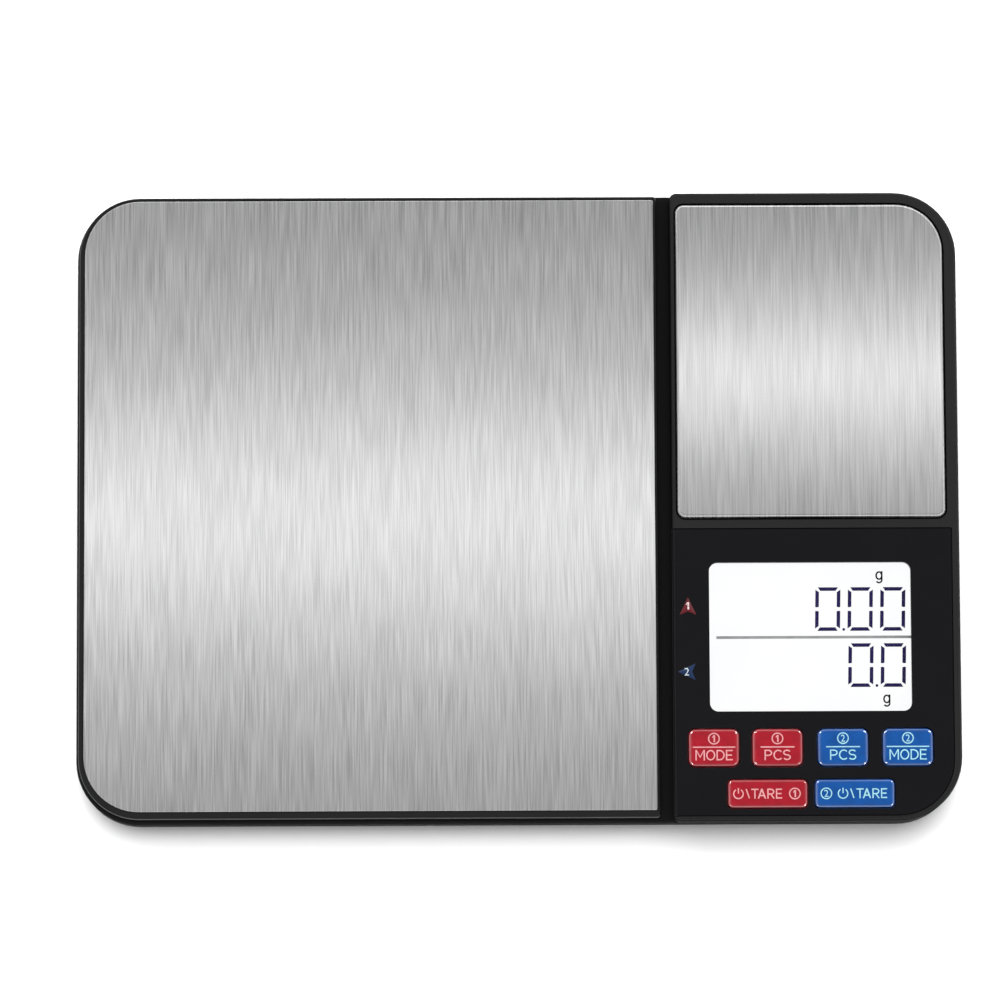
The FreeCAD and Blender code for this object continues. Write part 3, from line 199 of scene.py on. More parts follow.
def brushed_steel(name, node, edge, contrast=1.0, crown_shift=0.0):
    """Stainless steel brushed from front to rear, very slightly crowned, with painted shade darkening its
    rim.

    edge is the colour factor of the painted shade at the rim, contrast the streaks' strength, and
    crown_shift moves the crown to the rear.
    """
    low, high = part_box(node)
    middle = (low.y + high.y) / 2 + crown_shift
    half = (high.y - low.y) / 2
    made = Finish(name, (0.85, 0.85, 0.85), 0.34, Metallic=1.0, Anisotropic=0.85)
    hair = made.noise(*HAIR)
    streak = made.noise(*STREAK)
    band = made.noise(*BAND)
    both = made.add("ShaderNodeMath", {"operation": "ADD"}, _0=hair, _1=streak).outputs[0]
    mixed = made.add("ShaderNodeMath", {"operation": "MULTIPLY_ADD"}, _0=band, _1=BAND_SHARE, _2=both)
    first = STREAK_MIDDLE - STREAK_SPREAD / contrast
    last = STREAK_MIDDLE + STREAK_SPREAD / contrast
    face = made.tint(mixed.outputs[0], STEEL_DARK, STEEL_LIGHT, first, last)
    # Painted shade: the base colour darkens where the plate's edge turns down, which dims the rim's
    # reflections.
    rim = made.spread(made.facing_up(), edge, 1.0, RIM_SHADE_TILT, RIM_SHADE_END_TILT)
    shaded = made.add("ShaderNodeVectorMath", {"operation": "SCALE"}, _0=face, _3=rim).outputs[0]
    made.drive("Base Color", shaded)
    made.drive("Roughness", made.spread(streak, STEEL_SMOOTH, STEEL_ROUGH))
    across = made.add("ShaderNodeTangent", {"direction_type": "RADIAL", "axis": "Y"}).outputs[0]
    made.links.new(across, made.shader.inputs["Tangent"])
    y = made.add("ShaderNodeSeparateXYZ", Vector=made.place).outputs[1]
    off = made.add("ShaderNodeMath", {"operation": "SUBTRACT"}, _0=y, _1=middle).outputs[0]
    squared = made.add("ShaderNodeMath", {"operation": "MULTIPLY"}, _0=off, _1=off).outputs[0]
    curve = -0.5 * CROWN_SLOPE / half
    crown = made.add("ShaderNodeMath", {"operation": "MULTIPLY"}, _0=squared, _1=curve).outputs[0]
    made.bump(crown, 1.0)
    made.bump(hair, HAIR_DEPTH)
    return made.material


def clear_pane(name):
    """Clear acrylic, seen mostly by what it mirrors."""
    made = Finish(name, (0.1, 0.1, 0.1), 0.03, Alpha=0.05)
    made.bump(made.noise(5 * MM, detail=1.0), 0.002 * MM)
    return made.material


def lit_panel(name):
    """The display's white field, lit from behind by a light guide with a faint unevenness."""
    made = Finish(name, (0.08, 0.08, 0.08), 0.4, Emission_Strength=1.06, Specular_IOR_Level=0.1)
    glow = made.noise(18 * MM, detail=1.0)
    made.drive("Emission Color", made.tint(glow, (0.97, 0.985, 1.0), (1.0, 1.0, 1.0)))
    made.bump(made.noise(0.2 * MM), 0.001 * MM)
    return made.material


def bare_metal(name, colour, roughness, stretch=(1.0, 1.0, 1.0), grain=0.4 * MM):
    """Machined or plated metal."""
    made = Finish(name, colour, roughness, Metallic=1.0)
    mark = made.noise(grain, detail=3.0, stretch=stretch)
    made.drive("Base Color", made.tint(mark, shade(colour, 0.85), shade(colour, 1.05)))
    made.drive("Roughness", made.spread(mark, roughness - 0.06, roughness + 0.08))
    made.bump(mark, 0.003 * MM)
    return made.material


EDGE_IOR = 2.3
EDGE_ROUNDING = 1.3 * MM


def key_cap(name, colour):
    """A clear-edged key cap: matt on its flat top, glassy where its edges turn down."""
    made = Finish(name, colour, 0.22, Specular_IOR_Level=0.2, Coat_IOR=EDGE_IOR, Coat_Roughness=0.07)
    ripple = made.noise(3.5 * MM, detail=2.0)
    haze = made.noise(*HAZE)
    made.drive("Base Color", made.tint(ripple, shade(colour, TINT_DARK), shade(colour, TINT_LIGHT)))
    made.drive("Roughness", made.spread(haze, 0.18, 0.27))
    rounded = made.add("ShaderNodeBevel", {"samples": 8}, Radius=EDGE_ROUNDING).outputs[0]
    upward = made.add("ShaderNodeSeparateXYZ", Vector=rounded).outputs[2]
    made.drive("Coat Weight", made.spread(upward, 1.0, 0.0, 0.90, 0.995))
    made.drive("Coat Normal", rounded)
    made.bump(haze, 0.001 * MM)
    return made.material


BLACK = (0.0075, 0.0075, 0.008)
RED = (0.46, 0.006, 0.021)
BLUE = (0.001, 0.096, 0.41)

FINISHES = {
    "case_plastic": moulded("case_abs", BLACK, 0.46, dull_to=16 * MM, Specular_IOR_Level=0.52),
    "tray_plastic": moulded("tray_abs", BLACK, 0.38, grain=0.22 * MM, Specular_IOR_Level=0.35),
    "panel_plastic": moulded("panel_film", (0.0065, 0.0062, 0.0088), 0.34, grain=0.16 * MM,
                             depth=0.003 * MM, Specular_IOR_Level=0.15),
    "window_clear": clear_pane("window_acrylic"),
    "display_glass": lit_panel("display_field"),
    "white_plastic": polished("light_guide_white", (0.82, 0.84, 0.84), 0.25),
    "red_key": key_cap("key_red", RED),
    "blue_key": key_cap("key_blue", BLUE),
    "foot_rubber": moulded("foot_rubber", (0.022, 0.022, 0.023), 0.78, grain=0.35 * MM, depth=0.02 * MM),
    "cell_aluminium": bare_metal("cell_aluminium", (0.74, 0.75, 0.76), 0.34, (14.0, 1.0, 1.0)),
    "sealant": moulded("sealant_white", (0.78, 0.77, 0.73), 0.42, grain=1.2 * MM, depth=0.05 * MM),
    "screw_steel": bare_metal("screw_zinc", (0.62, 0.63, 0.65), 0.26, grain=0.2 * MM),
    "screw_black": bare_metal("screw_black", (0.07, 0.07, 0.075), 0.38, grain=0.2 * MM),
    "board": moulded("board_mask", (0.012, 0.13, 0.045), 0.28, grain=0.9 * MM),
    "chip": moulded("chip_resin", (0.018, 0.018, 0.02), 0.55, grain=0.12 * MM),
    "component": moulded("component_ceramic", (0.46, 0.32, 0.18), 0.5, grain=0.1 * MM),
    "crystal_can": bare_metal("crystal_can", (0.72, 0.72, 0.72), 0.22),
    "switch_body": moulded("switch_black", (0.03, 0.03, 0.032), 0.5, grain=0.15 * MM),
    "contact_metal": bare_metal("contact_nickel", (0.72, 0.7, 0.66), 0.24),
    "battery_wrap": polished("cell_wrap", (0.09, 0.13, 0.19), 0.3),
    "wire_red": polished("wire_red", (0.5, 0.02, 0.02), 0.4),
    "wire_black": polished("wire_black", (0.015, 0.015, 0.015), 0.4),
    "wire_grey": polished("wire_grey", (0.3, 0.3, 0.31), 0.4),
    "label_foil": moulded("label_foil", (0.62, 0.63, 0.64), 0.36, grain=0.6 * MM, Metallic=0.4),
}

PLATE_FINISHES = {
    # Each plate's second figure is the colour factor of the painted shade at its rim.
    "large_plate": brushed_steel("large_plate_steel", "large_plate", 0.5),
    "small_plate": brushed_steel("small_plate_steel", "small_plate", 0.6, 0.72, 1.6 * MM),
}

for part in frame["record"]["subparts"]:
    node = part["node"]
    finish = PLATE_FINISHES.get(node) or FINISHES[part["material_slot"]]
    frame["nodes"][node].data.materials.clear()
    frame["nodes"][node].data.materials.append(finish)


# ---------------------------------------------------------------- printed and inlaid pieces

class Print:
    """Flat shapes, in metres about a middle of their own, gathered into one thin piece."""

    def __init__(self, middle):
        self.middle = Vector((middle[0], middle[1], 0.0))
        self.mesh = bmesh.new()

    def polygon(self, points):
        corners = [self.mesh.verts.new((x, y, 0.0)) for x, y in points]
        self.mesh.faces.new(corners)

    def bar(self, start, end, width):
        """A straight stroke from start to end."""
        along = (Vector(end) - Vector(start)).normalized()
        side = Vector((-along.y, along.x)) * width / 2
        self.polygon([Vector(start) + side, Vector(start) - side, Vector(end) - side, Vector(end) + side])

    def arc(self, centre, radius, width, first=0.0, sweep=360.0, steps=48):
        """A curved stroke whose outer edge has that radius; a whole ring by default."""
        closed = sweep >= 360.0
        count = steps if closed else steps + 1
        angles = [math.radians(first + sweep * i / steps) for i in range(count)]
        rims = []
        for r in (radius, radius - width):
            points = [(centre[0] + r * math.cos(a), centre[1] + r * math.sin(a), 0.0) for a in angles]
            rims.append([self.mesh.verts.new(point) for point in points])
        for i in range(count if closed else count - 1):
            j = (i + 1) % count
            self.mesh.faces.new((rims[0][i], rims[0][j], rims[1][j], rims[1][i]))

    def disc(self, centre, radius, steps=24):
        turn = 2 * math.pi / steps
        self.polygon([(centre[0] + radius * math.cos(turn * i), centre[1] + radius * math.sin(turn * i))
                      for i in range(steps)])

    def path(self, points, width):
        """A curved stroke of that width along closely spaced points."""
        points = [Vector(point) for point in points]
        pairs = []
        for before, here, after in zip(points[:1] + points, points, points[1:] + points[-1:]):
            along = (after - before).normalized()
            side = Vector((-along.y, along.x)) * width / 2
            pairs.append([self.mesh.verts.new((*(here + sign * side), 0.0)) for sign in (1, -1)])
        for (a, b), (c, d) in zip(pairs, pairs[1:]):
            self.mesh.faces.new((a, b, d, c))

    def bow(self, centre, radii, width, first, sweep, steps=32):
        """A stroke along part of an ellipse whose outer edge has those two radii."""
        rx, ry = radii[0] - width / 2, radii[1] - width / 2
        angles = [math.radians(first + sweep * i / steps) for i in range(steps + 1)]
        self.path([(centre[0] + rx * math.cos(a), centre[1] + ry * math.sin(a)) for a in angles], width)

    def block(self, x0, x1, y0, y1):
        self.polygon([(x0, y0), (x1, y0), (x1, y1), (x0, y1)])

    def word(self, letters, centre, width, height, stroke):
        """Capitals drawn in strokes, filling a box of that width and height about centre."""
        natural = sum(LETTERS[letter][0] for letter in letters)
        gaps = [KERN.get(pair, LETTER_GAP) * height for pair in zip(letters, letters[1:])] + [0.0]
        scale = (width - sum(gaps)) / natural
        x = centre[0] - width / 2
        for letter, gap in zip(letters, gaps):
            share, draw = LETTERS[letter]
            draw(self, x, centre[1] - height / 2, share * scale, height, stroke)
            x += share * scale + gap

    def text(self, words, centre, width, height):
        """Plain figures that fill a box of that width and height about centre."""
        curve = bpy.data.curves.new("letters", "FONT")
        curve.body = words
        curve.resolution_u = 6
        letters = bpy.data.objects.new("letters", curve)
        bpy.context.scene.collection.objects.link(letters)
        bpy.context.view_layer.update()
        flat = bpy.data.meshes.new_from_object(letters.evaluated_get(bpy.context.evaluated_depsgraph_get()))
        bpy.data.objects.remove(letters)
        bpy.data.curves.remove(curve)
        xs = [v.co.x for v in flat.vertices]
        ys = [v.co.y for v in flat.vertices]
        size = Vector((width / (max(xs) - min(xs)), height / (max(ys) - min(ys)), 1.0))
        off = Vector(((max(xs) + min(xs)) / 2, (max(ys) + min(ys)) / 2, 0.0))
        for v in flat.vertices:
            v.co = (v.co - off) * size + Vector((centre[0], centre[1], 0.0))
        self.mesh.from_mesh(flat)
        bpy.data.meshes.remove(flat)

    def piece(self, name, level, thickness, finish, body):
        """The gathered shapes as one piece from level up, riding on body."""
        bmesh.ops.remove_doubles(self.mesh, verts=self.mesh.verts, dist=0.002 * MM)
        bmesh.ops.recalc_face_normals(self.mesh, faces=self.mesh.faces)
        for face in self.mesh.faces:
            if face.normal.z > 0:
                face.normal_flip()
        raised = bmesh.ops.extrude_face_region(self.mesh, geom=self.mesh.faces[:])["geom"]
        lifted = [v for v in raised if isinstance(v, bmesh.types.BMVert)]
        bmesh.ops.translate(self.mesh, verts=lifted, vec=(0.0, 0.0, thickness))
        bmesh.ops.recalc_face_normals(self.mesh, faces=self.mesh.faces)
        bmesh.ops.translate(self.mesh, verts=self.mesh.verts, vec=self.middle + Vector((0.0, 0.0, level)))
        mesh = bpy.data.meshes.new(name)
        self.mesh.to_mesh(mesh)
        self.mesh.free()
        mesh.materials.append(finish)
        made = bpy.data.objects.new(name, mesh)
        bpy.context.scene.collection.objects.link(made)
        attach(made, body)
        return made


def letter_m(ink, x, y, w, h, t):
    """Two stems with a V hung between them."""
    drop = 1.5 * t
    foot = 0.22 * h
    ink.block(x, x + t, y, y + h)
    ink.block(x + w - t, x + w, y, y + h)
    middle = x + w / 2
    ink.polygon([(x + t, y + h), (x + t, y + h - drop), (middle, y + foot), (middle, y + foot + drop)])
    ink.polygon([(x + w - t, y + h), (middle, y + foot + drop), (middle, y + foot),
                 (x + w - t, y + h - drop)])


def letter_o(ink, x, y, w, h, t):
    ink.bow((x + w / 2, y + h / 2), (w / 2, h / 2), t, 90.0, 360.0, 48)


def letter_d(ink, x, y, w, h, t):
    turn = x + w - min(h / 2, 0.75 * w)
    ink.block(x, x + t, y, y + h)
    ink.block(x + t, turn, y, y + t)
    ink.block(x + t, turn, y + h - t, y + h)
    ink.bow((turn, y + h / 2), (x + w - turn, h / 2), t, -90.0, 180.0)


def letter_e(ink, x, y, w, h, t):
    ink.block(x, x + t, y, y + h)
    for foot, reach in ((0.0, w), (h / 2 - t / 2, 0.9 * w), (h - t, w)):
        ink.block(x + t, x + reach, y + foot, y + foot + t)


def letter_p(ink, x, y, w, h, t):
    waist = y + 0.46 * h
    turn = x + 0.5 * w
    ink.block(x, x + t, y, y + h)
    ink.block(x + t, turn, waist - t / 2, waist + t / 2)
    ink.block(x + t, turn, y + h - t, y + h)
    middle = (waist - t / 2 + y + h) / 2
    ink.bow((turn, middle), (x + w - turn, y + h - middle), t, -90.0, 180.0)


def letter_r(ink, x, y, w, h, t):
    letter_p(ink, x, y, 0.95 * w, h, t)
    top = y + 0.46 * h - t / 2
    ink.polygon([(x + 0.42 * w, top), (x + w - 1.2 * t, y), (x + w, y), (x + 0.42 * w + 1.2 * t, top)])


def letter_c(ink, x, y, w, h, t):
    ink.bow((x + 0.58 * w, y + h / 2), (0.58 * w, h / 2), t, 44.0, 272.0, 48)


def letter_s(ink, x, y, w, h, t):
    """Two bows that run into each other at the middle."""
    rx, ry = (w - t) / 2, (h - t) / 4
    upper = [math.radians(25.0 + 245.0 * i / 24) for i in range(25)]
    lower = [math.radians(90.0 - 245.0 * i / 24) for i in range(1, 25)]
    middle = x + w / 2
    points = [(middle + rx * math.cos(a), y + h / 2 + ry + ry * math.sin(a)) for a in upper]
    points += [(middle + rx * math.cos(a), y + h / 2 - ry + ry * math.sin(a)) for a in lower]
    ink.path(points, t)


def letter_t(ink, x, y, w, h, t):
    ink.block(x, x + w, y + h - t, y + h)
    ink.block(x + w / 2 - t / 2, x + w / 2 + t / 2, y, y + h - t)


def letter_a(ink, x, y, w, h, t):
    leg = 1.15 * t
    crotch = h - 2.2 * t
    middle = x + w / 2
    for side in (-1, 1):
        foot = middle + side * w / 2
        ink.polygon([(foot, y), (foot - side * leg, y), (middle, y + crotch), (middle, y + h),
                     (middle + side * leg / 2, y + h)])
    low, high = 0.24 * h, 0.24 * h + t
    inner = [(w / 2 - leg) * (1 - level / crotch) for level in (low, high)]
    ink.polygon([(middle - inner[0], y + low), (middle + inner[0], y + low),
                 (middle + inner[1], y + high), (middle - inner[1], y + high)])


LETTER_GAP = 0.12
KERN = {("T", "A"): -0.1}
LETTERS = {
    "M": (1.0, letter_m), "O": (0.96, letter_o), "D": (0.86, letter_d), "E": (0.72, letter_e),
    "P": (0.80, letter_p), "C": (0.88, letter_c), "S": (0.80, letter_s),
    "T": (0.86, letter_t), "A": (0.98, letter_a), "R": (0.86, letter_r),
}


def small_g(ink, centre, width, height, stroke):
    """A single-storey g: a bowl, a stem and a hook."""
    bowl = 0.36 * height
    right = centre[0] + width / 2
    middle = (centre[0], centre[1] + height / 2 - bowl)
    ink.bow(middle, (width / 2, bowl), stroke, 90.0, 360.0)
    hook = centre[1] - height / 2 + 0.5 * width
    ink.block(right - stroke, right, hook, centre[1] + height / 2)
    ink.bow((centre[0], hook), (width / 2, 0.5 * width), stroke, 0.0, -150.0)


def numeral_one(ink, centre, width, height, stroke):
    """A stem with a flag and no foot."""
    right = centre[0] + width / 2
    top = centre[1] + height / 2
    ink.block(right - stroke, right, centre[1] - height / 2, top)
    ink.polygon([(right - stroke, top), (right - width, top - 0.52 * width - 0.2 * stroke),
                 (right - width, top - 0.52 * width - 1.1 * stroke), (right - stroke, top - 1.1 * stroke)])


# The display: two rows of seven-segment noughts, their points, a rule between the rows and the unit marks.
INK = polished("display_ink", (0.028, 0.018, 0.155), 0.6, Specular_IOR_Level=0.1)
UNIT_INK = polished("unit_ink", (0.018, 0.018, 0.028), 0.6, Specular_IOR_Level=0.1)
RULE_INK = polished("rule_ink", (0.66, 0.69, 0.68), 0.6, Specular_IOR_Level=0.1)

DIGIT_WIDTH = 7.1 * MM
DIGIT_HEIGHT = 12.4 * MM
DIGIT_PITCH = 9.2 * MM
SEGMENT_WIDTH = 1.02 * MM
SEGMENT_GAP = 0.34 * MM
CORNER_CUT = 0.34 * MM
MIDDLE_GAP = 0.95 * MM
SLANT = math.tan(math.radians(1.2))
POINT_SIZE = 0.8 * MM
INK_THICKNESS = 0.03 * MM
INK_LIFT = 0.01 * MM

ROW_RIGHT_MARGIN = 3.3 * MM
UPPER_ROW_DOWN = 21.3 * MM
LOWER_ROW_UP = 8.95 * MM

glass_low, glass_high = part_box("display_glass")
INK_LEVEL = glass_high.z + INK_LIFT
ROW_RIGHT = glass_high.x - ROW_RIGHT_MARGIN
UPPER_ROW_FOOT = glass_high.y - UPPER_ROW_DOWN
LOWER_ROW_FOOT = glass_low.y + LOWER_ROW_UP


def nought(ink, left, foot):
    """Six of a digit's seven segments, slanted a little to the right."""
    w, tall, t = DIGIT_WIDTH, DIGIT_HEIGHT, SEGMENT_WIDTH
    g, c = SEGMENT_GAP, CORNER_CUT
    half = tall / 2 - MIDDLE_GAP / 2
    level_bar = [(g + c, 0.0), (w - g - c, 0.0), (w - t - g, t), (t + g, t)]
    upright = [(0.0, g + c), (t, t + g), (t, half - 0.18 * t), (0.45 * t, half), (0.0, half - 0.1 * t)]
    for upper in (False, True):
        for points in (level_bar, upright, [(w - x, y) for x, y in upright]):
            placed = [(x, tall - y if upper else y) for x, y in points]
            ink.polygon([(left + x + y * SLANT, foot + y) for x, y in placed])


def reading(name, foot, digits, decimals):
    """A row of noughts, right-aligned, with a point before its last decimals."""
    ink = Print((ROW_RIGHT, foot))
    lefts = [-DIGIT_WIDTH - DIGIT_PITCH * i for i in range(digits)]
    for left in lefts:
        nought(ink, left, 0.0)
    gap_middle = lefts[decimals - 1] - (DIGIT_PITCH - DIGIT_WIDTH) / 2
    ink.disc((gap_middle, POINT_SIZE / 2), POINT_SIZE / 2)
    ink.piece(name, INK_LEVEL, INK_THICKNESS, INK, "case")


reading("display_upper_reading", UPPER_ROW_FOOT, 3, 2)
reading("display_lower_reading", LOWER_ROW_FOOT, 2, 1)

RULE_WIDTH = 0.78 * MM
RULE_LEFT_MARGIN = 3.9 * MM
RULE_RIGHT_MARGIN = 1.6 * MM
rule = Print(((glass_low.x + glass_high.x) / 2, (UPPER_ROW_FOOT + LOWER_ROW_FOOT + DIGIT_HEIGHT) / 2))
rule_half = (glass_high.x - glass_low.x) / 2
rule.bar((RULE_LEFT_MARGIN - rule_half, 0.0), (rule_half - RULE_RIGHT_MARGIN, 0.0), RULE_WIDTH)
rule.piece("display_rule", INK_LEVEL, INK_THICKNESS, RULE_INK, "case")

UNIT_SIZE = (2.05 * MM, 3.5 * MM)
UNIT_STROKE = 0.46 * MM
UNIT_LEFT = {"upper": 7.2 * MM, "lower": 5.4 * MM}
UNIT_ABOVE = 2.8 * MM
UNIT_BELOW = 3.9 * MM
UNIT_PLACES = {
    "display_upper_unit": (ROW_RIGHT - UNIT_LEFT["upper"], UPPER_ROW_FOOT + DIGIT_HEIGHT + UNIT_ABOVE),
    "display_lower_unit": (ROW_RIGHT - UNIT_LEFT["lower"], LOWER_ROW_FOOT - UNIT_BELOW),
}
for name, place in UNIT_PLACES.items():
    unit = Print(place)
    small_g(unit, (0.0, 0.0), *UNIT_SIZE, UNIT_STROKE)
    unit.piece(name, INK_LEVEL, INK_THICKNESS, UNIT_INK, "case")


# The key legends, inlaid in the key tops.
LEGEND = {
    "red": polished("legend_pink", (1.0, 0.48, 0.50), 0.4, Specular_IOR_Level=0.2),
    "blue": polished("legend_pale_blue", (0.46, 0.88, 1.0), 0.4, Specular_IOR_Level=0.2),
}
NUMERAL = {"red": "1", "blue": "2"}
LEGEND_PROUD = 0.012 * MM
LEGEND_DEEP = 0.03 * MM
RING_RADIUS = 1.66 * MM
RING_STROKE = 0.33 * MM
NUMERAL_HEIGHT = 1.95 * MM
NUMERAL_WIDTH = {"1": 0.78 * MM, "2": 1.15 * MM}
NUMERAL_STROKE = 0.42 * MM
LETTER_STROKE = 0.36 * MM
RULE_STROKE = 0.34 * MM
POWER_RADIUS = 1.5 * MM
POWER_GAP = 64.0
POWER_BAR_FOOT = 0.1 * MM
POWER_BAR_REACH = 1.08
POWER_DROP = 0.05 * MM
SLASH_STROKE = 0.36 * MM
SLASH_HALF_WIDTH = 0.45 * MM
SLASH_HALF_HEIGHT = 1.3 * MM


def plain_numeral(ink, numeral, centre, scale=1.0):
    width, height = NUMERAL_WIDTH[numeral] * scale, NUMERAL_HEIGHT * scale
    if numeral == "1":
        numeral_one(ink, (centre[0] - 0.1 * width, centre[1]), width, height, NUMERAL_STROKE * scale)
    else:
        ink.text(numeral, centre, width, height)


def ringed_numeral(ink, numeral, centre):
    ink.arc(centre, RING_RADIUS, RING_STROKE)
    plain_numeral(ink, numeral, centre)


def power_sign(ink, centre):
    """An open ring with an upright bar in its gap."""
    ink.arc(centre, POWER_RADIUS, RING_STROKE, 90.0 + POWER_GAP / 2, 360.0 - POWER_GAP)
    top = centre[1] + POWER_RADIUS * POWER_BAR_REACH
    ink.bar((centre[0], centre[1] + POWER_BAR_FOOT), (centre[0], top), RING_STROKE)


# A tare key's ringed numeral, power sign, slash and word, each in mm to the right of its middle.
TARE_PLACES = {"red": (7.6, -8.3, -5.65, -0.35), "blue": (-8.05, -3.35, -0.75, 4.72)}
TARE_WORD_SIZE = (8.7 * MM, 2.8 * MM)
# Each small key's word, the word's width and half the length of the rule above it.
SMALL_KEY_WORDS = {"mode": ("MODE", 10.5 * MM, 6.0 * MM), "pieces": ("PCS", 7.4 * MM, 4.8 * MM)}
SMALL_KEY_RING_Y = 2.55 * MM
SMALL_KEY_RULE_Y = 0.15 * MM
SMALL_KEY_WORD_Y = -2.1 * MM
SMALL_KEY_WORD_HEIGHT = 2.95 * MM


def tare_legend(ink, colour):
    """A ringed numeral, a power sign, a slash and TARE, side by side."""
    ring_x, power_x, slash_x, word_x = [place * MM for place in TARE_PLACES[colour]]
    ringed_numeral(ink, NUMERAL[colour], (ring_x, 0.0))
    power_sign(ink, (power_x, -POWER_DROP))
    slash_top = (slash_x - SLASH_HALF_WIDTH, SLASH_HALF_HEIGHT)
    slash_foot = (slash_x + SLASH_HALF_WIDTH, -SLASH_HALF_HEIGHT)
    ink.bar(slash_top, slash_foot, SLASH_STROKE)
    ink.word("TARE", (word_x, 0.0), *TARE_WORD_SIZE, LETTER_STROKE)


def small_key_legend(ink, colour, word):
    """A ringed numeral over a rule over a word."""
    letters, width, reach = SMALL_KEY_WORDS[word]
    ringed_numeral(ink, NUMERAL[colour], (0.0, SMALL_KEY_RING_Y))
    ink.bar((-reach, SMALL_KEY_RULE_Y), (reach, SMALL_KEY_RULE_Y), RULE_STROKE)
    ink.word(letters, (0.0, SMALL_KEY_WORD_Y), width, SMALL_KEY_WORD_HEIGHT, LETTER_STROKE)


def key_legend(key):
    """The print on one key; key names start with their colour."""
    colour, word = key.split("_")
    low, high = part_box(key + "_key")
    ink = Print(((low.x + high.x) / 2, (low.y + high.y) / 2))
    if word == "tare":
        tare_legend(ink, colour)
    else:
        small_key_legend(ink, colour, word)
    ink.piece(key + "_legend", high.z + LEGEND_PROUD - LEGEND_DEEP, LEGEND_DEEP, LEGEND[colour],
              key + "_button")


for key in ("red_mode", "red_pieces", "blue_pieces", "blue_mode", "red_tare", "blue_tare"):
    key_legend(key)


# The two arrowheads on the panel that tell which platform a row belongs to.
BADGE_LENGTH = 5.0 * MM
BADGE_HALF_WIDTH = 2.35 * MM
BADGE_NOTCH = 0.95 * MM
BADGE_EDGE = 0.03 * MM
BADGE_RIDGE = 0.28 * MM
BADGE_RIDGE_START = 0.6
BADGE_RIDGE_SETBACK = 0.2
BADGE_NUMERAL_SCALE = 1.1
BADGE_NUMERAL_SUNK = 0.02 * MM
BADGE_NUMERAL_THICKNESS = 0.05 * MM
BADGE_PAINT = {
    "one": polished("badge_red", (0.22, 0.012, 0.022), 0.22),
    "two": polished("badge_blue", (0.014, 0.052, 0.17), 0.22),
}
BADGE_NUMERAL = {
    "one": polished("badge_pink", (1.0, 0.72, 0.74), 0.3),
    "two": polished("badge_pale_blue", (0.80, 0.92, 1.0), 0.3),
}
# From the panel's left edge and up from the foot of the badge's row.
BADGE_PLACE = {"one": (4.2 * MM, 6.9 * MM), "two": (3.75 * MM, 4.2 * MM)}
panel_low, panel_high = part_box("control_panel")


def badge(which, numeral, place, heading):
    """A swept arrowhead with a ridge from its tip to its notch, pointing heading degrees from +X."""
    tip, notch = (BADGE_LENGTH / 2, 0.0), (BADGE_NOTCH - BADGE_LENGTH / 2, 0.0)
    wings = [(-BADGE_LENGTH / 2, BADGE_HALF_WIDTH), (-BADGE_LENGTH / 2, -BADGE_HALF_WIDTH)]
    shape = bmesh.new()
    rim = [tip, wings[0], notch, wings[1]]
    foot = [shape.verts.new((x, y, 0.0)) for x, y in rim]
    edge = [shape.verts.new((x, y, BADGE_EDGE)) for x, y in rim]
    ridge = [shape.verts.new((BADGE_RIDGE_START * tip[0], 0.0, BADGE_RIDGE)),
             shape.verts.new((notch[0] + BADGE_RIDGE_SETBACK * BADGE_LENGTH, 0.0, BADGE_RIDGE))]
    shape.faces.new(foot[::-1])
    for i in range(4):
        j = (i + 1) % 4
        shape.faces.new((foot[i], foot[j], edge[j], edge[i]))
    shape.faces.new((edge[0], edge[1], ridge[1], ridge[0]))
    shape.faces.new((edge[1], edge[2], ridge[1]))
    shape.faces.new((edge[2], edge[3], ridge[1]))
    shape.faces.new((edge[3], edge[0], ridge[0], ridge[1]))
    bmesh.ops.recalc_face_normals(shape, faces=shape.faces)
    mesh = bpy.data.meshes.new("badge_" + which)
    turned = Matrix.Rotation(math.radians(heading), 4, "Z")
    shape.transform(Matrix.Translation((*place, panel_high.z)) @ turned)
    shape.to_mesh(mesh)
    shape.free()
    mesh.materials.append(BADGE_PAINT[which])
    arrow = bpy.data.objects.new("badge_" + which, mesh)
    bpy.context.scene.collection.objects.link(arrow)
    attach(arrow, "case")
    ink = Print(place)
    plain_numeral(ink, numeral, (0.0, 0.0), BADGE_NUMERAL_SCALE)
    ink.piece("badge_" + which + "_numeral", panel_high.z + BADGE_RIDGE - BADGE_NUMERAL_SUNK,
              BADGE_NUMERAL_THICKNESS, BADGE_NUMERAL[which], "case")


BADGES = [("one", "1", UPPER_ROW_FOOT, 90.0), ("two", "2", LOWER_ROW_FOOT, 180.0)]
for which, numeral, row_foot, heading in BADGES:
    right, up = BADGE_PLACE[which]
    badge(which, numeral, (panel_low.x + right, row_foot + up), heading)


# ---------------------------------------------------------------- studio

CAMERA_TARGET = Vector((-4.94, 1.89, 18.0)) * MM
CAMERA_DISTANCE = 1.69975
CAMERA_LEAN = math.radians(6.7715)
CAMERA_SWAY = math.radians(-0.4897)
CAMERA_ROLL = math.radians(-0.2197)
CAMERA_LENS = 216.0
CAMERA_SENSOR = 36.0


def make_camera():
    """Looking almost straight down through a long lens, leaning a little to the front."""
    lean = Matrix.Rotation(CAMERA_LEAN, 3, "X")
    sway = Matrix.Rotation(CAMERA_SWAY, 3, "Y")
    roll = Matrix.Rotation(CAMERA_ROLL, 3, "Z")
    turn = lean @ sway @ roll
    data = bpy.data.cameras.new("camera")
    data.lens = CAMERA_LENS
    data.sensor_width = CAMERA_SENSOR
    data.clip_start = 0.01
    data.clip_end = 100.0
    camera = bpy.data.objects.new("camera", data)
    back = turn @ Vector((0.0, 0.0, CAMERA_DISTANCE))
    camera.matrix_world = Matrix.Translation(CAMERA_TARGET + back) @ turn.to_4x4()
    bpy.context.scene.collection.objects.link(camera)
    bpy.context.scene.camera = camera


FLOOR_REACH = 4.0
PAPER_DARK = (0.835, 0.835, 0.835)
PAPER_LIGHT = (0.845, 0.845, 0.845)


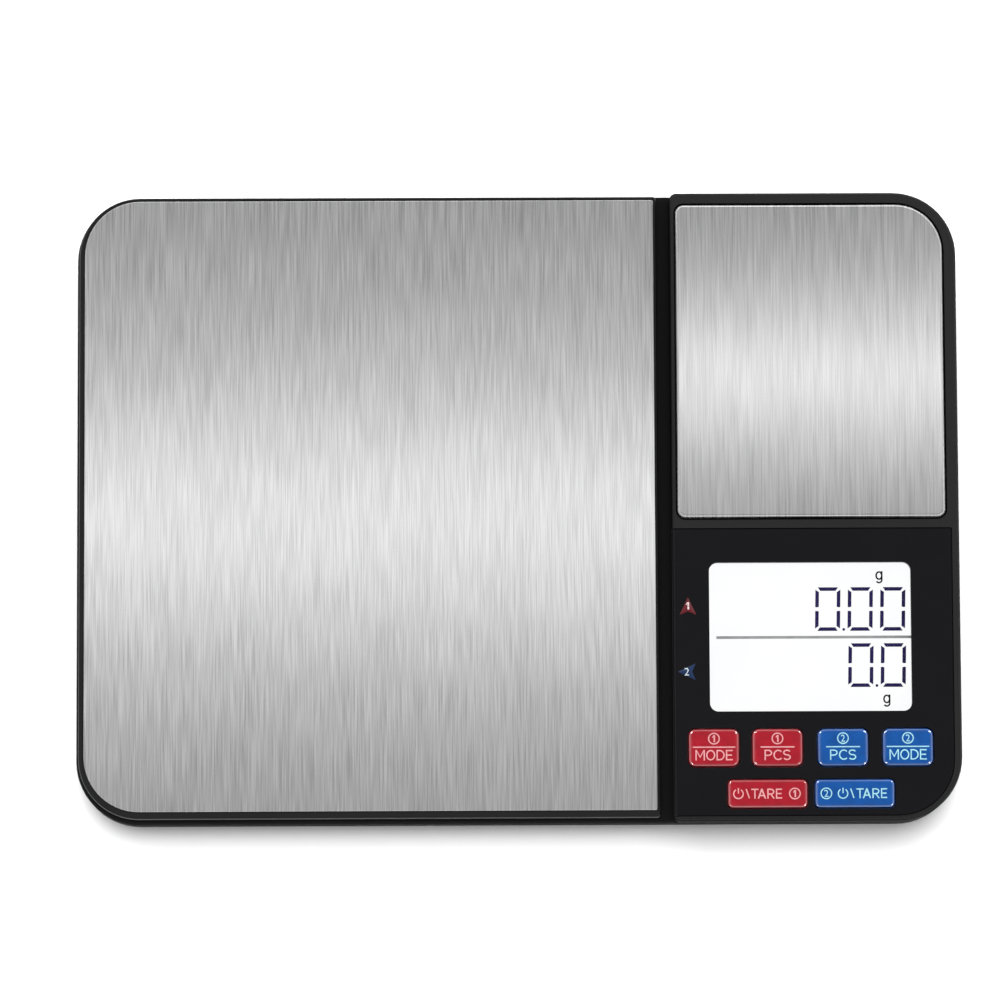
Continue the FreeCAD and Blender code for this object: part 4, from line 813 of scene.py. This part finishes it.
def make_floor():
    """A square of matt white paper, far larger than the view."""
    mesh = bpy.data.meshes.new("floor")
    signs = [(-1, -1), (1, -1), (1, 1), (-1, 1)]
    corners = [(x * FLOOR_REACH, y * FLOOR_REACH, 0.0) for x, y in signs]
    mesh.from_pydata(corners, [], [(0, 1, 2, 3)])
    paper = Finish("floor_paper", (0.84, 0.84, 0.84), 0.9, Specular_IOR_Level=0.1)
    fibre = paper.noise(0.8 * MM, detail=3.0)
    paper.drive("Base Color", paper.tint(fibre, PAPER_DARK, PAPER_LIGHT))
    paper.bump(fibre, 0.003 * MM)
    mesh.materials.append(paper.material)
    floor = bpy.data.objects.new("floor", mesh)
    bpy.context.scene.collection.objects.link(floor)
    return floor


RING_LIGHT = 1.3
RING_TOP = 0.34
MIDDLE_LIGHT = 0.25
MIDDLE_HEIGHT = 0.62
TOP_LIGHT = 0.325
TOP_HEIGHT = 0.88
STRIP_LIGHT = 1.01
STRIP_SHARPNESS = 5.6
STRIP_SLOPE = 0.107
STRIP_REACH = 0.80
LEAST_UP = 0.05


def make_sky():
    """A white studio: a bright ring round the horizon and a soft strip of light overhead, along X."""
    world = bpy.data.worlds.new("studio")
    bpy.context.scene.world = world
    world.use_nodes = True
    tree = world.node_tree
    background = tree.nodes["Background"]
    toward = tree.nodes.new("ShaderNodeTexCoord").outputs["Generated"]
    split = tree.nodes.new("ShaderNodeSeparateXYZ")
    tree.links.new(toward, split.inputs[0])

    def math_node(operation, *values):
        node = tree.nodes.new("ShaderNodeMath")
        node.operation = operation
        for socket, value in zip(node.inputs, values):
            if isinstance(value, bpy.types.NodeSocket):
                tree.links.new(value, socket)
            else:
                socket.default_value = value
        return node.outputs[0]

    def ranged(value, low, high, start, end):
        node = tree.nodes.new("ShaderNodeMapRange")
        node.interpolation_type = "SMOOTHSTEP"
        tree.links.new(value, node.inputs[0])
        for i, number in enumerate((low, high, start, end)):
            node.inputs[i + 1].default_value = number
        return node.outputs[0]

    up = split.outputs[2]
    ring = ranged(up, RING_TOP, MIDDLE_HEIGHT, RING_LIGHT, MIDDLE_LIGHT)
    overhead = ranged(up, MIDDLE_HEIGHT, TOP_HEIGHT, 0.0, 1.0)
    slope = math_node("DIVIDE", split.outputs[1], math_node("MAXIMUM", up, LEAST_UP))
    off = math_node("ABSOLUTE", math_node("SUBTRACT", slope, STRIP_SLOPE))
    fall = math_node("MAXIMUM", math_node("SUBTRACT", 1.0, math_node("DIVIDE", off, STRIP_REACH)), 0.0)
    strip = math_node("MULTIPLY", math_node("POWER", fall, STRIP_SHARPNESS), STRIP_LIGHT)
    top = math_node("MULTIPLY", overhead, math_node("ADD", strip, TOP_LIGHT - MIDDLE_LIGHT))
    light = math_node("ADD", ring, top)
    tree.links.new(light, background.inputs["Strength"])
    background.inputs["Color"].default_value = (1.0, 1.0, 1.0, 1.0)


def light_only(lamp, objects):
    """Keeps the lamp's light to those objects."""
    lit = bpy.data.collections.new("lit_by_" + lamp.name)
    for item in objects:
        lit.objects.link(item)
    lamp.light_linking.receiver_collection = lit


KEY_LAMPS_MIDDLE = Vector((82.0, -75.0, 20.0)) * MM
KEY_LAMP_ASIDE = 0.62
KEY_LAMP_HEIGHT = 0.42
KEY_LAMP_SIZE = 0.2
KEY_LAMP_LIT = ("_key", "_legend", "_numeral")
# How far behind, the power in watts, and whether the lamp is only mirrored.
KEY_LAMPS = {
    "key_fill": (0.62, 3.2, False),
    "rear_glint": (0.62, 16.0, True),
    "front_glint": (-0.62, 6.0, True),
}


def make_key_lamps(objects):
    """Soft lamps round the keys: a fill behind at each side, and glints for the caps' four corners."""
    for name, (depth, power, glint) in KEY_LAMPS.items():
        for side, x in (("left", -KEY_LAMP_ASIDE), ("right", KEY_LAMP_ASIDE)):
            lamp = bpy.data.lights.new(name, "AREA")
            lamp.shape = "DISK"
            lamp.size = KEY_LAMP_SIZE
            lamp.energy = power
            toward = Vector((x, depth, KEY_LAMP_HEIGHT)).normalized()
            placed = bpy.data.objects.new(name + "_" + side, lamp)
            facing = toward.to_track_quat("Z", "Y").to_matrix().to_4x4()
            placed.matrix_world = Matrix.Translation(KEY_LAMPS_MIDDLE + toward) @ facing
            placed.visible_diffuse = not glint
            bpy.context.scene.collection.objects.link(placed)
            light_only(placed, objects)


FLOOR_LAMP_POWER = 5.0
FLOOR_LAMP_SPREAD = math.radians(56.0)
FLOOR_LAMP_LEAN = math.radians(-24.0)


def make_floor_light(floor):
    """A broad lamp behind and above that lights only the floor, for the soft shadow in front."""
    lamp = bpy.data.lights.new("floor_lamp", "SUN")
    lamp.energy = FLOOR_LAMP_POWER
    lamp.angle = FLOOR_LAMP_SPREAD
    placed = bpy.data.objects.new("floor_lamp", lamp)
    placed.matrix_world = Euler((FLOOR_LAMP_LEAN, 0.0, 0.0)).to_matrix().to_4x4()
    bpy.context.scene.collection.objects.link(placed)
    light_only(placed, [floor])


make_camera()
make_sky()
make_floor_light(make_floor())
make_key_lamps([item for item in bpy.context.scene.objects if item.name.endswith(KEY_LAMP_LIT)])
bpy.context.scene.view_settings.view_transform = "Standard"
bpy.context.scene.view_settings.look = "None"

bpy.context.view_layer.update()
